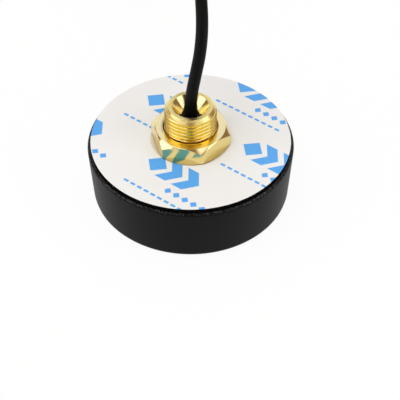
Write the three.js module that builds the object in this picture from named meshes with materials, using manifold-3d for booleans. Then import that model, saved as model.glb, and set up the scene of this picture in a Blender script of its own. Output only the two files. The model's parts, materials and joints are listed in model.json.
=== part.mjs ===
// A screw-mount satellite antenna puck with its coaxial lead, lying on its radome with the stud up.
// Millimetres, +Z up. The origin is the centre of the radome's outer face, which rests on z = 0.
// Seen from the -Y side, the lead rises out of the stud and bends over to +Y. It lies coiled
// behind the puck, with its plug beside the coil.
import * as THREE from "three";
import { mergeVertices } from "three/addons/utils/BufferGeometryUtils.js";
import Module from "manifold-3d";

// Housing: a radome cup closed by a base plate
const puckDiameter = 48;
const puckHeight = 15.5;
const radomeDraft = 0.85;
const radomeEdgeRadius = 1.5;
const radomeWindow = 1.6;
const radomeWall = 2.4;
const boardLedge = 2.6;
const plateThickness = 1.8;
const plateBand = 0.6;
const plateEdgeRadius = 0.5;
const plateFit = 0.1;
const sealSection = 0.6;
const sealWallShare = 0.5;

// Screws that hold the base plate, under the pad
const screwCount = 3;
const screwInset = 4.9;
const screwDiameter = 1.6;
const screwHeadDiameter = 3;
const screwHeadHeight = 0.8;
const screwLength = 6;
const screwFit = 0.05;
const postDiameter = 4.2;
const postClearance = 0.3;

// Foam pad and its release liner. The turning nut's corners have pressed their inner edge down
const padInset = 0.75;
const padThickness = 0.85;
const linerThickness = 0.15;
const padHoleClearance = 0.15;
const padDentDepth = 0.78;
const padDentWidth = 1;
const linerPullRing = 22;

// Hollow stud
const threadDiameter = 12;
const threadPitch = 1;
const threadDepth = 0.6;
const threadCrest = 0.125;
const threadFlankAngle = 30;
const threadClearance = 0.12;
const threadRunIn = 0.6;
const studReach = 9.9;
const studChamfer = 0.9;
const studNeckGap = 0.1;
const studFlangeRim = 1.5;
const studFlangeThickness = 1.5;
const studFlangeRecess = 0.6;
const studFlangeFit = 0.1;
const studBoreDiameter = 5.2;
const studHoleDiameter = 4;
const studLip = 0.5;
const studMouthRim = 0.9;
const countersinkDepth = 2.5;
const bushFit = 0.05;

// Hex nut and the washer held captive in its foot. Both go through the pad to the base plate
const nutWall = 2.2;
const nutHeight = 4.9;
const nutFaceInset = 0.12;
const nutChamferAngle = 43;
const nutBoreChamfer = 0.45;
const nutTurn = -13.7;
const nutSeatGap = 0.05;
const washerBand = 1.4;
const washerThickness = 0.35;
const washerBoreGap = 0.2;
const washerFit = 0.15;

// Antenna stack inside
const patchCornerGap = 1.32;
const patchThickness = 4;
const patchAirGap = 0.6;
const electrodeMargin = 2.3;
const electrodeThickness = 0.2;
const electrodeTrim = 2.2;
const patchTapeThickness = 0.2;
const patchTapeMargin = 0.5;
const boardThickness = 1;
const boardFit = 0.3;
const feedPinDiameter = 0.9;
const feedPinHeadDiameter = 1.8;
const feedPinHead = 0.2;
const feedOffset = 2.6;
const feedFit = 0.1;
const solderDiameter = 2.2;
const solderHeight = 0.9;

// Amplifier under its shield
const canEdgeGap = 4.2;
const canNearPlace = 2.1;
const canPostGap = 0.95;
const canHeight = 2.4;
const canWall = 0.3;
const amplifierSize = 2.4;
const amplifierHeight = 0.8;
const filterLength = 3;
const filterWidth = 2.6;
const filterHeight = 1;
const chipLength = 1.6;
const chipWidth = 0.8;
const chipHeight = 0.7;
const chipCount = 4;
const chipSpacing = 2.6;
const chipRowPlace = 2.3;

// Coaxial lead
const cableDiameter = 2.8;
const cableLength = 2000;
const braidDiameter = 2.1;
const coreDiameter = 1.5;
const conductorDiameter = 0.5;
const cableGap = 0.3;
const braidEndPlace = 6.2;
const coreEndPlace = 8.2;
const conductorEndPlace = 9.8;
const leadFit = 0.05;
const groundSolderLength = 2.4;
const groundSolderWidth = 3.4;
const groundSolderHeight = 2.7;

// How far along and how high each bend of the braid lies, as shares of its drop to the board
const braidBendShares = [
  [0, 0.72],
  [0.12, 0.36],
  [0.42, 0.08],
  [0.8, 0],
];

// Coil, ties and tail of the lead
const coilPlace = 103.5;
const coilLoops = 17;
const coilLayers = 4;
const coilPitch = 3.26;
const coilLoopSteps = 24;
const coilTubeSides = 6;
const coilClimbLoops = 0.25;
const tieWidth = 4;
const tieThickness = 0.5;
const tieGap = 0.3;
const tieCount = 2;
const tieTurn = 40;
const tailRun = 15.5;
const tailBendRadius = 16;
const tailBendSteps = 5;

// Plug on the lead's far end
const sleeveLength = 11;
const sleeveRearDiameter = 3.6;
const sleeveFrontDiameter = 5;
const sleeveTaper = 4;
const ferruleDiameter = 4.2;
const ferruleBore = 2.2;
const ferruleLength = 8.5;
const ferruleShows = 1.5;
const plugFit = 0.05;
const plugCollarDiameter = 6.2;
const plugCollarLength = 2.5;
const plugNeckDiameter = 4.8;
const plugNeckLength = 2.4;
const plugBarrelDiameter = 4.6;
const plugBarrelLength = 2.8;
const plugBarrelBore = 4.1;
const plugPinDiameter = 0.9;
const plugPinReach = 1.8;
const plugPinTip = 0.4;
const couplerFlats = 8;
const couplerLength = 7.6;
const couplerBore = 6.1;
const couplerNeckBore = 5.2;
const couplerFloor = 1.9;
const couplerStandOff = 0.3;
const couplerChamfer = 0.4;
const couplerTurn = 30;
const ringSection = 0.4;
const ringGroove = 0.3;
const ringPlace = 0.8;
const gasketThickness = 0.6;
const gasketFit = 0.12;

// The centreline of the lead's free stretch, from the bush in the stud to the coil
const freeRoute = [
  [0, 0, 22.7],
  [0.05, 0.05, 26.2],
  [0.52, 0.35, 30.1],
  [1.3, 0.95, 34.3],
  [2.05, 2.1, 38],
  [2.5, 4, 41],
  [2.68, 6.5, 43.4],
  [2.6, 10.3, 45.5],
  [2.3, 15, 47.1],
  [1.3, 21, 48],
  [-0.8, 27.5, 47.3],
  [-3.6, 34.5, 45],
  [-7, 42, 41],
  [-10.6, 49.5, 35.6],
  [-14, 56.5, 29.7],
  [-17, 63.5, 23.9],
  [-19.5, 70.5, 19],
  [-21.4, 78, 15.4],
  [-22.7, 86, 13.2],
  [-23.4, 93.5, 12.2],
];

// Faceting, and one overrun for every cut
const roundSides = 48;
const threadSides = 20;
const smallSides = 12;
const tubeSides = 8;
const tubeStepShare = 2.2;
const edgeSteps = 3;
const cutOverrun = 1;
const mergeDistance = 0.0001;

// Levels that follow from the sizes above
const puckRadius = puckDiameter / 2;
const linerTop = puckHeight;
const padTop = linerTop - linerThickness;
const plateTop = padTop - padThickness;
const seam = plateTop - plateBand;
const plateUnder = plateTop - plateThickness;
const electrodeUnder = radomeWindow + patchAirGap;
const patchUnder = electrodeUnder + electrodeThickness;
const patchTop = patchUnder + patchThickness;
const boardUnder = patchTop + patchTapeThickness;
const boardTop = boardUnder + boardThickness;
const radomeBoreRadius = puckRadius - radomeWall;
const boardRadius = radomeBoreRadius - boardFit;
const ledgeRadius = radomeBoreRadius - boardLedge;
const padRadius = puckRadius - padInset;
const patchWidth = (ledgeRadius - patchCornerGap) * Math.SQRT2;
const canLength = boardRadius - canEdgeGap - canNearPlace;
const canPlace = -(canNearPlace + canLength / 2);
const screwRingRadius = puckRadius - screwInset;
const canWidth = screwRingRadius - postDiameter - 2 * canPostGap;
const threadRadius = threadDiameter / 2;
const threadRootRadius = threadRadius - threadDepth;
const studFlangeFlats = threadDiameter + 2 * studFlangeRim;
const nutFlats = threadDiameter + 2 * nutWall;
const washerHoleRadius = threadRadius + washerBoreGap;
const washerRadius = washerHoleRadius + washerBand;
const studTop = linerTop + studReach;
const studFlangeTop = plateUnder + studFlangeRecess;
const studUnder = studFlangeTop - studFlangeThickness;
const countersinkUnder = studTop - countersinkDepth;
const bushTop = countersinkUnder - studLip;
const nutUnder = plateTop + nutSeatGap;
const nutTop = nutUnder + nutHeight;
const padHole = nutFlats / 2 + padHoleClearance;
const cableRadius = cableDiameter / 2;
const screwPlaces = Array.from({ length: screwCount }, (_, i) => {
  return ring(screwRingRadius, 90 + (i * 360) / screwCount);
});

const wasm = await Module();
wasm.setup();
const antenna = new THREE.Group();

// A point on a circle round the axis, at an angle in degrees
function ring(radius, degrees) {
  const angle = THREE.MathUtils.degToRad(degrees);
  return [radius * Math.cos(angle), radius * Math.sin(angle)];
}

// Points of a round edge, in the plane of a turned profile, from one angle to another in degrees
function edgeArc(r, z, radius, from, to) {
  return Array.from({ length: edgeSteps + 1 }, (_, i) => {
    const [dr, dz] = ring(radius, from + ((to - from) * i) / edgeSteps);
    return [r + dr, z + dz];
  });
}

// One closed surface: shared corners merged and collapsed triangles dropped
function closed(geometry) {
  const bare = new THREE.BufferGeometry();
  bare.setAttribute("position", geometry.getAttribute("position"));
  bare.setIndex(geometry.index);
  const merged = mergeVertices(bare, mergeDistance);
  const corners = merged.index.array;
  const kept = [];
  for (let i = 0; i < corners.length; i += 3) {
    const [a, b, c] = corners.subarray(i, i + 3);
    if (a !== b && b !== c && c !== a) kept.push(a, b, c);
  }
  merged.setIndex(kept);
  return merged;
}

// A closed surface turned round the Z axis from [radius, height] points, anticlockwise
function turned(profile, sides = roundSides) {
  const outline = [...profile, profile[0]].map(([r, z]) => new THREE.Vector2(r, z));
  return closed(new THREE.LatheGeometry(outline, sides).rotateX(Math.PI / 2));
}

function rod(radius, low, high, x = 0, y = 0, sides = smallSides) {
  return turned([[0, low], [radius, low], [radius, high], [0, high]], sides).translate(x, y, 0);
}

function tube(inner, outer, low, high, sides = smallSides) {
  return turned([[inner, low], [outer, low], [outer, high], [inner, high]], sides);
}

// A flat outline raised along Z
function raised(shape, depth) {
  return new THREE.ExtrudeGeometry(shape, { depth, bevelEnabled: false });
}

function spline(route) {
  const places = route.map((place) => new THREE.Vector3(...place));
  return new THREE.CatmullRomCurve3(places, false, "centripetal");
}

function meshOf(points, faces) {
  const geometry = new THREE.BufferGeometry();
  geometry.setAttribute("position", new THREE.BufferAttribute(new Float32Array(points), 3));
  return geometry.setIndex(faces);
}

function block(length, width, low, high, x = 0, y = 0) {
  return closed(new THREE.BoxGeometry(length, width, high - low).translate(x, y, (low + high) / 2));
}

// A prism with six flats, one corner at the given angle
function hexPrism(flats, low, high, turn = 0) {
  const corner = flats / Math.sqrt(3);
  const outline = Array.from({ length: 6 }, (_, i) => new THREE.Vector2(...ring(corner, turn + i * 60)));
  return closed(raised(new THREE.Shape(outline), high - low).translate(0, 0, low));
}

function toSolid(geometry) {
  const triVerts = new Uint32Array(geometry.index.array);
  const vertProperties = new Float32Array(geometry.getAttribute("position").array);
  return new wasm.Manifold(new wasm.Mesh({ numProp: 3, vertProperties, triVerts }));
}

function toGeometry(solid) {
  const { vertProperties, triVerts } = solid.getMesh();
  return meshOf(vertProperties, [...triVerts]);
}

function cut(geometry, ...tools) {
  return toGeometry(tools.reduce((solid, tool) => solid.subtract(toSolid(tool)), toSolid(geometry)));
}

function join(geometry, ...others) {
  return toGeometry(others.reduce((solid, other) => solid.add(toSolid(other)), toSolid(geometry)));
}

function overlapOf(geometry, other) {
  return toGeometry(toSolid(geometry).intersect(toSolid(other)));
}

const finishes = {
  radomeBlack: { color: 0x1d1e1f, roughness: 0.55, metalness: 0 },
  plateBlack: { color: 0x101112, roughness: 0.25, metalness: 0 },
  foamBlack: { color: 0x161616, roughness: 0.9, metalness: 0 },
  linerWhite: { color: 0xe9e9e7, roughness: 0.5, metalness: 0 },
  brass: { color: 0xd9b25a, roughness: 0.2, metalness: 1 },
  steel: { color: 0xb9bcc0, roughness: 0.3, metalness: 1 },
  rubberBlack: { color: 0x0e0e0e, roughness: 0.8, metalness: 0 },
  cableBlack: { color: 0x18191a, roughness: 0.5, metalness: 0 },
  ceramic: { color: 0xb9a184, roughness: 0.6, metalness: 0 },
  silver: { color: 0xcfd0cf, roughness: 0.25, metalness: 1 },
  board: { color: 0x1f5a34, roughness: 0.45, metalness: 0 },
  tin: { color: 0xc4c6c8, roughness: 0.35, metalness: 1 },
  copper: { color: 0xc27b4e, roughness: 0.4, metalness: 1 },
  clearPlastic: { color: 0xe8e6dc, roughness: 0.5, metalness: 0 },
  gold: { color: 0xe0b860, roughness: 0.2, metalness: 1 },
  chipBlack: { color: 0x202022, roughness: 0.5, metalness: 0 },
  tieBlack: { color: 0x141414, roughness: 0.6, metalness: 0 },
  sealRed: { color: 0xb05a3c, roughness: 0.7, metalness: 0 },
};

function add(name, geometry, finish, group = antenna) {
  const mesh = new THREE.Mesh(geometry, new THREE.MeshStandardMaterial(finishes[finish]));
  mesh.name = name;
  group.add(mesh);
}

// Housing

function radome() {
  const face = puckRadius - radomeDraft;
  const sealPlace = puckRadius - radomeWall * sealWallShare;
  const sealHalf = sealSection / 2 + plateFit / 2;
  const cup = turned([
    [0, 0],
    ...edgeArc(face - radomeEdgeRadius, radomeEdgeRadius, radomeEdgeRadius, -90, 0),
    [puckRadius, seam],
    [sealPlace + sealHalf, seam],
    [sealPlace + sealHalf, seam - sealSection],
    [sealPlace - sealHalf, seam - sealSection],
    [sealPlace - sealHalf, seam],
    [radomeBoreRadius, seam],
    [radomeBoreRadius, boardUnder],
    [ledgeRadius, boardUnder],
    [ledgeRadius, radomeWindow],
    [0, radomeWindow],
  ]);
  const posts = screwPlaces.map(([x, y]) => rod(postDiameter / 2, radomeWindow / 2, plateUnder, x, y));
  const pilot = screwDiameter / 2 + screwFit;
  const pilots = screwPlaces.map(([x, y]) => rod(pilot, plateTop - screwLength - screwFit, seam, x, y));
  return cut(join(cup, ...posts), ...pilots);
}

function basePlate() {
  const spigot = radomeBoreRadius - plateFit;
  const hole = threadRadius + studNeckGap;
  const plate = turned([
    [hole, plateUnder],
    [spigot, plateUnder],
    [spigot, seam],
    [puckRadius, seam],
    ...edgeArc(puckRadius - plateEdgeRadius, plateTop - plateEdgeRadius, plateEdgeRadius, 0, 90),
    [hole, plateTop],
  ]);
  const flangeFlats = studFlangeFlats + 2 * studFlangeFit;
  const recess = hexPrism(flangeFlats, plateUnder - cutOverrun, studFlangeTop);
  const shank = screwDiameter / 2 + screwFit;
  const head = screwHeadDiameter / 2 + screwFit;
  const screwHole = turned([
    [0, plateUnder - cutOverrun],
    [shank, plateUnder - cutOverrun],
    [shank, plateTop - screwHeadHeight - screwFit],
    [head, plateTop - screwFit],
    [head, plateTop + cutOverrun],
    [0, plateTop + cutOverrun],
  ], smallSides);
  return cut(plate, recess, ...screwPlaces.map(([x, y]) => screwHole.clone().translate(x, y, 0)));
}

function housingSeal() {
  const half = sealSection / 2;
  const place = puckRadius - radomeWall * sealWallShare;
  return tube(place - half, place + half, seam - sealSection, seam, roundSides);
}

function plateScrew(x, y) {
  const shank = screwDiameter / 2;
  const tip = plateTop - screwLength;
  return turned([
    [0, tip],
    [shank / 2, tip],
    [shank, tip + shank],
    [shank, plateTop - screwHeadHeight],
    [screwHeadDiameter / 2, plateTop - screwFit],
    [0, plateTop - screwFit],
  ], smallSides).translate(x, y, 0);
}

// The stuck ring between the base plate and what the antenna is fixed to

function pressedEdge(level) {
  return [
    [linerPullRing / 2, level],
    [padHole + padDentWidth, level],
    [padHole, level - padDentDepth],
  ];
}

function foamPad() {
  return turned([[padHole, plateTop], [padRadius, plateTop], [padRadius, padTop], ...pressedEdge(padTop)]);
}

function releaseLiner() {
  const under = pressedEdge(padTop).reverse();
  return turned([...under, [padRadius, padTop], [padRadius, linerTop], ...pressedEdge(linerTop)]);
}

// A ridge wound round the axis. Its section is [radius, height] points, anticlockwise
function threadRidge(section, low, high) {
  const steps = Math.round(((high - low) / threadPitch) * threadSides);
  const count = section.length;
  const points = [];
  const faces = [];
  for (let step = 0; step <= steps; step += 1) {
    const rise = (step / threadSides) * threadPitch;
    for (const [radius, height] of section) {
      points.push(...ring(radius, (step / threadSides) * 360), low + rise + height);
    }
  }
  for (let step = 0; step < steps; step += 1) {
    for (let side = 0; side < count; side += 1) {
      const a = step * count + side;
      const b = step * count + ((side + 1) % count);
      faces.push(a, b + count, b, a, a + count, b + count);
    }
  }
  for (let side = 1; side < count - 1; side += 1) {
    faces.push(0, side, side + 1);
    const last = steps * count;
    faces.push(last, last + side + 1, last + side);
  }
  return meshOf(points, faces);
}

const flankRise = Math.tan(THREE.MathUtils.degToRad(threadFlankAngle));

// The stud's thread stands on its core, and its ridge starts and ends past the envelope that trims it
function studThread() {
  const low = linerTop - threadRunIn;
  const embed = threadClearance;
  const crest = (threadCrest * threadPitch) / 2;
  const foot = crest + (threadDepth + embed) * flankRise;
  return threadRidge([
    [threadRootRadius - embed, -foot],
    [threadRadius, -crest],
    [threadRadius, crest],
    [threadRootRadius - embed, foot],
  ], low, low + Math.ceil((studTop - low) / threadPitch) * threadPitch);
}

function stud() {
  const neckTop = linerTop - threadRunIn;
  const flange = hexPrism(studFlangeFlats, studUnder, studFlangeTop);
  const neck = rod(threadRadius, studFlangeTop - studFlangeThickness / 2, neckTop, 0, 0, threadSides);
  const core = rod(threadRootRadius, neckTop - threadPitch / 2, studTop, 0, 0, threadSides);
  const envelope = turned([
    [0, studUnder - cutOverrun],
    [studFlangeFlats, studUnder - cutOverrun],
    [studFlangeFlats, neckTop],
    [threadRadius + threadClearance, neckTop],
    [threadRadius + threadClearance, studTop - studChamfer - threadClearance],
    [threadRadius - studChamfer, studTop],
    [0, studTop],
  ], threadSides);
  const mouth = threadRadius - studChamfer - studMouthRim;
  const hole = studHoleDiameter / 2;
  const bore = studBoreDiameter / 2;
  const channel = turned([
    [0, studUnder - cutOverrun],
    [bore, studUnder - cutOverrun],
    [bore, bushTop],
    [hole, bushTop],
    [hole, countersinkUnder],
    [mouth, studTop],
    [mouth, studTop + cutOverrun],
    [0, studTop + cutOverrun],
  ], threadSides);
  return cut(overlapOf(join(flange, neck, core, studThread()), envelope), channel);
}

function cableBush() {
  const outer = studBoreDiameter / 2 - bushFit;
  return tube(cableRadius + bushFit, outer, studFlangeTop, bushTop - bushFit, threadSides);
}

function nutThread() {
  const crestRadius = threadRootRadius + threadClearance;
  const rootRadius = threadRadius + threadClearance;
  const embed = threadClearance;
  const crest = (threadCrest * threadPitch) / 2;
  const foot = crest + (rootRadius + embed - crestRadius) * flankRise;
  const start = linerTop - threadRunIn - threadPitch / 2;
  return threadRidge([
    [rootRadius + embed, foot],
    [crestRadius, crest],
    [crestRadius, -crest],
    [rootRadius + embed, -foot],
  ], start, start + Math.ceil((nutTop - start) / threadPitch + 1) * threadPitch);
}

function hexNut() {
  const corner = nutFlats / Math.sqrt(3) + cutOverrun;
  const face = nutFlats / 2 - nutFaceInset;
  const chamfer = (corner - face) * Math.tan(THREE.MathUtils.degToRad(nutChamferAngle));
  const envelope = turned([
    [0, nutUnder],
    [face, nutUnder],
    [corner, nutUnder + chamfer],
    [corner, nutTop - chamfer],
    [face, nutTop],
    [0, nutTop],
  ]);
  const rootRadius = threadRadius + threadClearance;
  const mouth = threadRadius + nutBoreChamfer;
  const recess = washerRadius + washerFit;
  const recessTop = nutUnder + washerThickness + washerFit;
  const hollow = turned([
    [0, nutUnder - cutOverrun],
    [recess, nutUnder - cutOverrun],
    [recess, recessTop],
    [rootRadius, recessTop],
    [rootRadius, nutTop - nutBoreChamfer],
    [mouth, nutTop],
    [mouth, nutTop + cutOverrun],
    [0, nutTop + cutOverrun],
  ], threadSides);
  const ridgeTop = nutTop - nutBoreChamfer;
  const wall = tube(threadRootRadius - threadClearance, recess, recessTop, ridgeTop, threadSides);
  const blank = cut(overlapOf(hexPrism(nutFlats, nutUnder, nutTop, nutTurn), envelope), hollow);
  return join(blank, overlapOf(nutThread(), wall));
}

function captiveWasher() {
  return tube(washerHoleRadius, washerRadius, nutUnder, nutUnder + washerThickness, threadSides);
}

// Antenna stack

const feedPlace = [feedOffset, 0];
const feedHoleRadius = feedPinDiameter / 2 + feedFit;

function feedHole(low, high) {
  return rod(feedHoleRadius, low - cutOverrun, high + cutOverrun, ...feedPlace);
}

function patchElectrode() {
  const half = patchWidth / 2 - electrodeMargin;
  const outline = [
    [-half + electrodeTrim, -half],
    [half, -half],
    [half, half - electrodeTrim],
    [half - electrodeTrim, half],
    [-half, half],
    [-half, -half + electrodeTrim],
  ].map(([x, y]) => new THREE.Vector2(x, y));
  const plate = raised(new THREE.Shape(outline), electrodeThickness).translate(0, 0, electrodeUnder);
  return cut(closed(plate), feedHole(electrodeUnder, patchUnder));
}

function patchCeramic() {
  return cut(block(patchWidth, patchWidth, patchUnder, patchTop), feedHole(patchUnder, patchTop));
}

function patchTape() {
  const width = patchWidth - 2 * patchTapeMargin;
  return cut(block(width, width, patchTop, boardUnder), feedHole(patchTop, boardUnder));
}

function feedPin() {
  const shank = feedPinDiameter / 2;
  const head = feedPinHeadDiameter / 2;
  const solderTop = boardTop + solderHeight / 2;
  const pin = turned([
    [0, electrodeUnder - feedPinHead],
    [head, electrodeUnder - feedPinHead],
    [head, electrodeUnder],
    [shank, electrodeUnder],
    [shank, solderTop],
    [0, solderTop],
  ], smallSides);
  return pin.translate(...feedPlace, 0);
}

function feedSolder() {
  const foot = solderDiameter / 2;
  const bead = turned([
    [feedHoleRadius, boardTop],
    [foot, boardTop],
    [foot * Math.SQRT1_2, boardTop + solderHeight / 2],
    [feedHoleRadius, boardTop + solderHeight / 2],
  ], smallSides);
  return bead.translate(...feedPlace, 0);
}

function antennaBoard() {
  const disc = rod(boardRadius, boardUnder, boardTop, 0, 0, roundSides);
  const notch = postDiameter / 2 + postClearance;
  const low = boardUnder - cutOverrun;
  const notches = screwPlaces.map(([x, y]) => rod(notch, low, boardTop + cutOverrun, x, y));
  return cut(disc, ...notches, feedHole(boardUnder, boardTop));
}

function shieldCan() {
  const outer = block(canLength, canWidth, boardTop, boardTop + canHeight, canPlace);
  const roof = boardTop + canHeight - canWall;
  const [length, width] = [canLength - 2 * canWall, canWidth - 2 * canWall];
  return cut(outer, block(length, width, boardTop - cutOverrun, roof, canPlace));
}

function addShieldedChips() {
  const onBoard = (length, width, height, x, y) => block(length, width, boardTop, boardTop + height, x, y);
  const row = chipRowPlace;
  const amplifier = onBoard(amplifierSize, amplifierSize, amplifierHeight, canPlace + filterLength, row);
  add("amplifier_chip", amplifier, "chipBlack");
  add("band_filter", onBoard(filterLength, filterWidth, filterHeight, canPlace - filterLength, row), "tin");
  for (let i = 0; i < chipCount; i += 1) {
    const place = canPlace + (i - (chipCount - 1) / 2) * chipSpacing;
    add(`chip_capacitor_${i + 1}`, onBoard(chipLength, chipWidth, chipHeight, place, -row), "ceramic");
  }
}

// A tube along a smooth route through the given places, with square ends
function leadTube(route, diameter, sides = tubeSides) {
  const curve = spline(route);
  const section = Array.from({ length: sides }, (_, i) => {
    return new THREE.Vector2(...ring(diameter / 2, ((i + 1 / 2) * 360) / sides));
  });
  const steps = Math.ceil(curve.getLength() / (diameter * tubeStepShare));
  const options = { steps, extrudePath: curve, bevelEnabled: false };
  return closed(new THREE.ExtrudeGeometry(new THREE.Shape(section), options));
}

// The lead's inner end: jacket in the bush, then braid, core and conductor stripped in steps

function addInnerLead() {
  const lie = boardTop + braidDiameter / 2;
  const jacket = rod(cableRadius, studUnder, bushTop, 0, 0, threadSides);
  add("lead_jacket", jacket, "cableBlack");
  const drop = studUnder - lie;
  const bends = braidBendShares.map(([along, up]) => [0, drop * along, lie + drop * up]);
  const braid = [[0, 0, studUnder - leadFit], ...bends, [0, braidEndPlace, lie]];
  add("lead_braid", leadTube(braid, braidDiameter), "copper");
  const core = alongBoard(coreDiameter / 2, braidEndPlace + leadFit, coreEndPlace, lie);
  add("lead_core", core, "clearPlastic");
  const conductor = alongBoard(conductorDiameter / 2, coreEndPlace + leadFit, conductorEndPlace, lie);
  add("lead_conductor", conductor, "copper");
  add("ground_solder", groundSolder(lie), "tin");
  add("signal_solder", signalSolder(lie), "tin");
}

function groundSolder(lie) {
  const top = boardTop + groundSolderHeight;
  const place = braidEndPlace - groundSolderLength / 2;
  const fillet = block(groundSolderWidth, groundSolderLength, boardTop, top, 0, place);
  return cut(fillet, alongBoard(braidDiameter / 2 + feedFit, 0, 2 * braidEndPlace, lie));
}

function signalSolder(lie) {
  const width = solderDiameter / 2;
  const top = lie - conductorDiameter / 2 - leadFit;
  return block(width, width, boardTop, top, 0, conductorEndPlace - width / 2);
}

// A straight round length lying along +Y over the board
function alongBoard(radius, from, to, height) {
  return rod(radius, from, to).rotateX(-Math.PI / 2).translate(0, 0, height);
}

// Cable coil

const coilHeight = tieThickness + tieGap + cableRadius;
const coilTopHeight = coilHeight + (coilLayers - 1) * coilPitch;
const plugHeight = couplerFlats / 2;

const coilSpread = (coilLoops / coilLayers) * coilPitch;
const tailTurn = (Math.PI / 2) * tailBendRadius;
const freeLength = spline(freeRoute).getLength();
const coiledLength = cableLength - freeLength - tailRun - tailTurn - cableDiameter;
const coilMeanRadius = coiledLength / (2 * Math.PI * coilLoops);
const coilOuterRadius = coilMeanRadius + coilSpread / 2;

// The coil's centreline at a number of loops from its start, which is at the coil's -X side
function coilPoint(loops) {
  const perLayer = coilLoops / coilLayers;
  const layer = Math.min(Math.floor(loops / perLayer), coilLayers - 1);
  const along = loops / perLayer - layer;
  const inward = layer % 2 === 0 ? along : 1 - along;
  const radius = coilOuterRadius - coilSpread * inward;
  const changes = Array.from({ length: coilLayers - 1 }, (_, i) => loops - (i + 1) * perLayer);
  const sunk = changes.reduce((sum, past) => {
    return sum + THREE.MathUtils.smoothstep(past, -coilClimbLoops, coilClimbLoops);
  }, 0);
  const [x, y] = ring(radius, 180 - loops * 360);
  return new THREE.Vector3(x, coilPlace + y, coilTopHeight - sunk * coilPitch);
}

function coilRoute() {
  const steps = Math.round(coilLoops * coilLoopSteps);
  const wound = Array.from({ length: steps + 1 }, (_, i) => coilPoint((i * coilLoops) / steps));
  const lead = new THREE.Vector3(0, cableDiameter, 0);
  return [wound[0].clone().sub(lead), ...wound, wound[steps].clone().add(lead)];
}

// The least gap between two turns: points of the centreline at least half a turn apart
function leastCoilGap(route) {
  let least = Infinity;
  route.forEach((a, i) => {
    for (let k = i + coilLoopSteps / 2; k < route.length; k += 1) {
      least = Math.min(least, a.distanceTo(route[k]));
    }
  });
  return least - cableDiameter;
}

// One unbroken tube through the route's points
function coilTube(route) {
  const points = [];
  const faces = [];
  const up = new THREE.Vector3(0, 0, 1);
  route.forEach((place, i) => {
    const ahead = route[Math.min(i + 1, route.length - 1)];
    const behind = route[Math.max(i - 1, 0)];
    const along = ahead.clone().sub(behind).normalize();
    const side = along.clone().cross(up).normalize();
    const over = along.clone().cross(side);
    for (let k = 0; k < coilTubeSides; k += 1) {
      const [a, b] = ring(cableRadius, ((k + 1 / 2) * 360) / coilTubeSides);
      const corner = place.clone().addScaledVector(side, a).addScaledVector(over, b);
      points.push(corner.x, corner.y, corner.z);
    }
  });
  const last = (route.length - 1) * coilTubeSides;
  for (let i = 0; i < last; i += coilTubeSides) {
    for (let k = 0; k < coilTubeSides; k += 1) {
      const a = i + k;
      const b = i + ((k + 1) % coilTubeSides);
      faces.push(a, b, b + coilTubeSides, a, b + coilTubeSides, a + coilTubeSides);
    }
  }
  for (let k = 1; k < coilTubeSides - 1; k += 1) {
    faces.push(0, k + 1, k, last, last + k, last + k + 1);
  }
  return meshOf(points, faces);
}

// A flat band round the bundle, at an angle round the coil
function coilTie(turn) {
  const inner = coilMeanRadius - coilSpread / 2 - cableRadius - tieGap;
  const outer = coilOuterRadius + cableRadius + tieGap;
  const top = coilTopHeight + cableRadius + tieGap;
  const rect = (grow) => [
    [inner - grow, tieThickness - grow],
    [outer + grow, tieThickness - grow],
    [outer + grow, top + grow],
    [inner - grow, top + grow],
  ].map(([r, z]) => new THREE.Vector2(r, z));
  const shape = new THREE.Shape(rect(tieThickness));
  shape.holes.push(new THREE.Path(rect(0)));
  const band = raised(shape, tieWidth).translate(0, 0, -tieWidth / 2).rotateX(Math.PI / 2);
  return closed(band.rotateZ(THREE.MathUtils.degToRad(turn)).translate(0, coilPlace, 0));
}

// Tail and plug

const plugLine = coilPlace + tailRun + tailBendRadius;
const tailEnd = tailBendRadius - coilOuterRadius;

function tailRoute() {
  const places = [[-coilOuterRadius, coilPlace + cableDiameter + cableGap, coilHeight]];
  places.push([-coilOuterRadius, coilPlace + tailRun / 2, coilHeight]);
  for (let step = 0; step <= tailBendSteps; step += 1) {
    const bent = step / tailBendSteps;
    const [x, y] = ring(tailBendRadius, 180 - 90 * bent);
    const height = THREE.MathUtils.lerp(coilHeight, plugHeight, bent);
    places.push([x + tailEnd, coilPlace + tailRun + y, height]);
  }
  return places;
}

// Plug pieces are turned along their own axis, then laid along +X behind the coil
const plug = new THREE.Group();
plug.rotation.y = Math.PI / 2;
plug.position.set(tailEnd + cableGap, plugLine, plugHeight);
antenna.add(plug);

const ferruleStart = sleeveLength + ferruleShows - ferruleLength;
const collarStart = sleeveLength + ferruleShows + plugFit;
const neckStart = collarStart + plugCollarLength;
const barrelStart = neckStart + plugNeckLength;
const barrelEnd = barrelStart + plugBarrelLength;
const couplerStart = neckStart + couplerStandOff;
const couplerEnd = couplerStart + couplerLength;

function plugSleeve() {
  return turned([
    [0, 0],
    [sleeveRearDiameter / 2, 0],
    [sleeveFrontDiameter / 2, sleeveTaper],
    [sleeveFrontDiameter / 2, sleeveLength],
    [ferruleDiameter / 2 + plugFit, sleeveLength],
    [ferruleDiameter / 2 + plugFit, ferruleStart - plugFit],
    [0, ferruleStart - plugFit],
  ], smallSides);
}

function crimpFerrule() {
  return tube(ferruleBore / 2, ferruleDiameter / 2, ferruleStart, sleeveLength + ferruleShows);
}

function plugBody() {
  const neck = plugNeckDiameter / 2;
  const groove = neckStart + ringPlace;
  return turned([
    [plugBarrelBore / 2, collarStart],
    [plugCollarDiameter / 2, collarStart],
    [plugCollarDiameter / 2, neckStart],
    [neck, neckStart],
    [neck, groove],
    [neck - ringGroove, groove],
    [neck - ringGroove, groove + ringSection + 2 * plugFit],
    [neck, groove + ringSection + 2 * plugFit],
    [neck, barrelStart],
    [plugBarrelDiameter / 2, barrelStart],
    [plugBarrelDiameter / 2, barrelEnd],
    [plugBarrelBore / 2, barrelEnd],
  ], smallSides);
}

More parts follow.
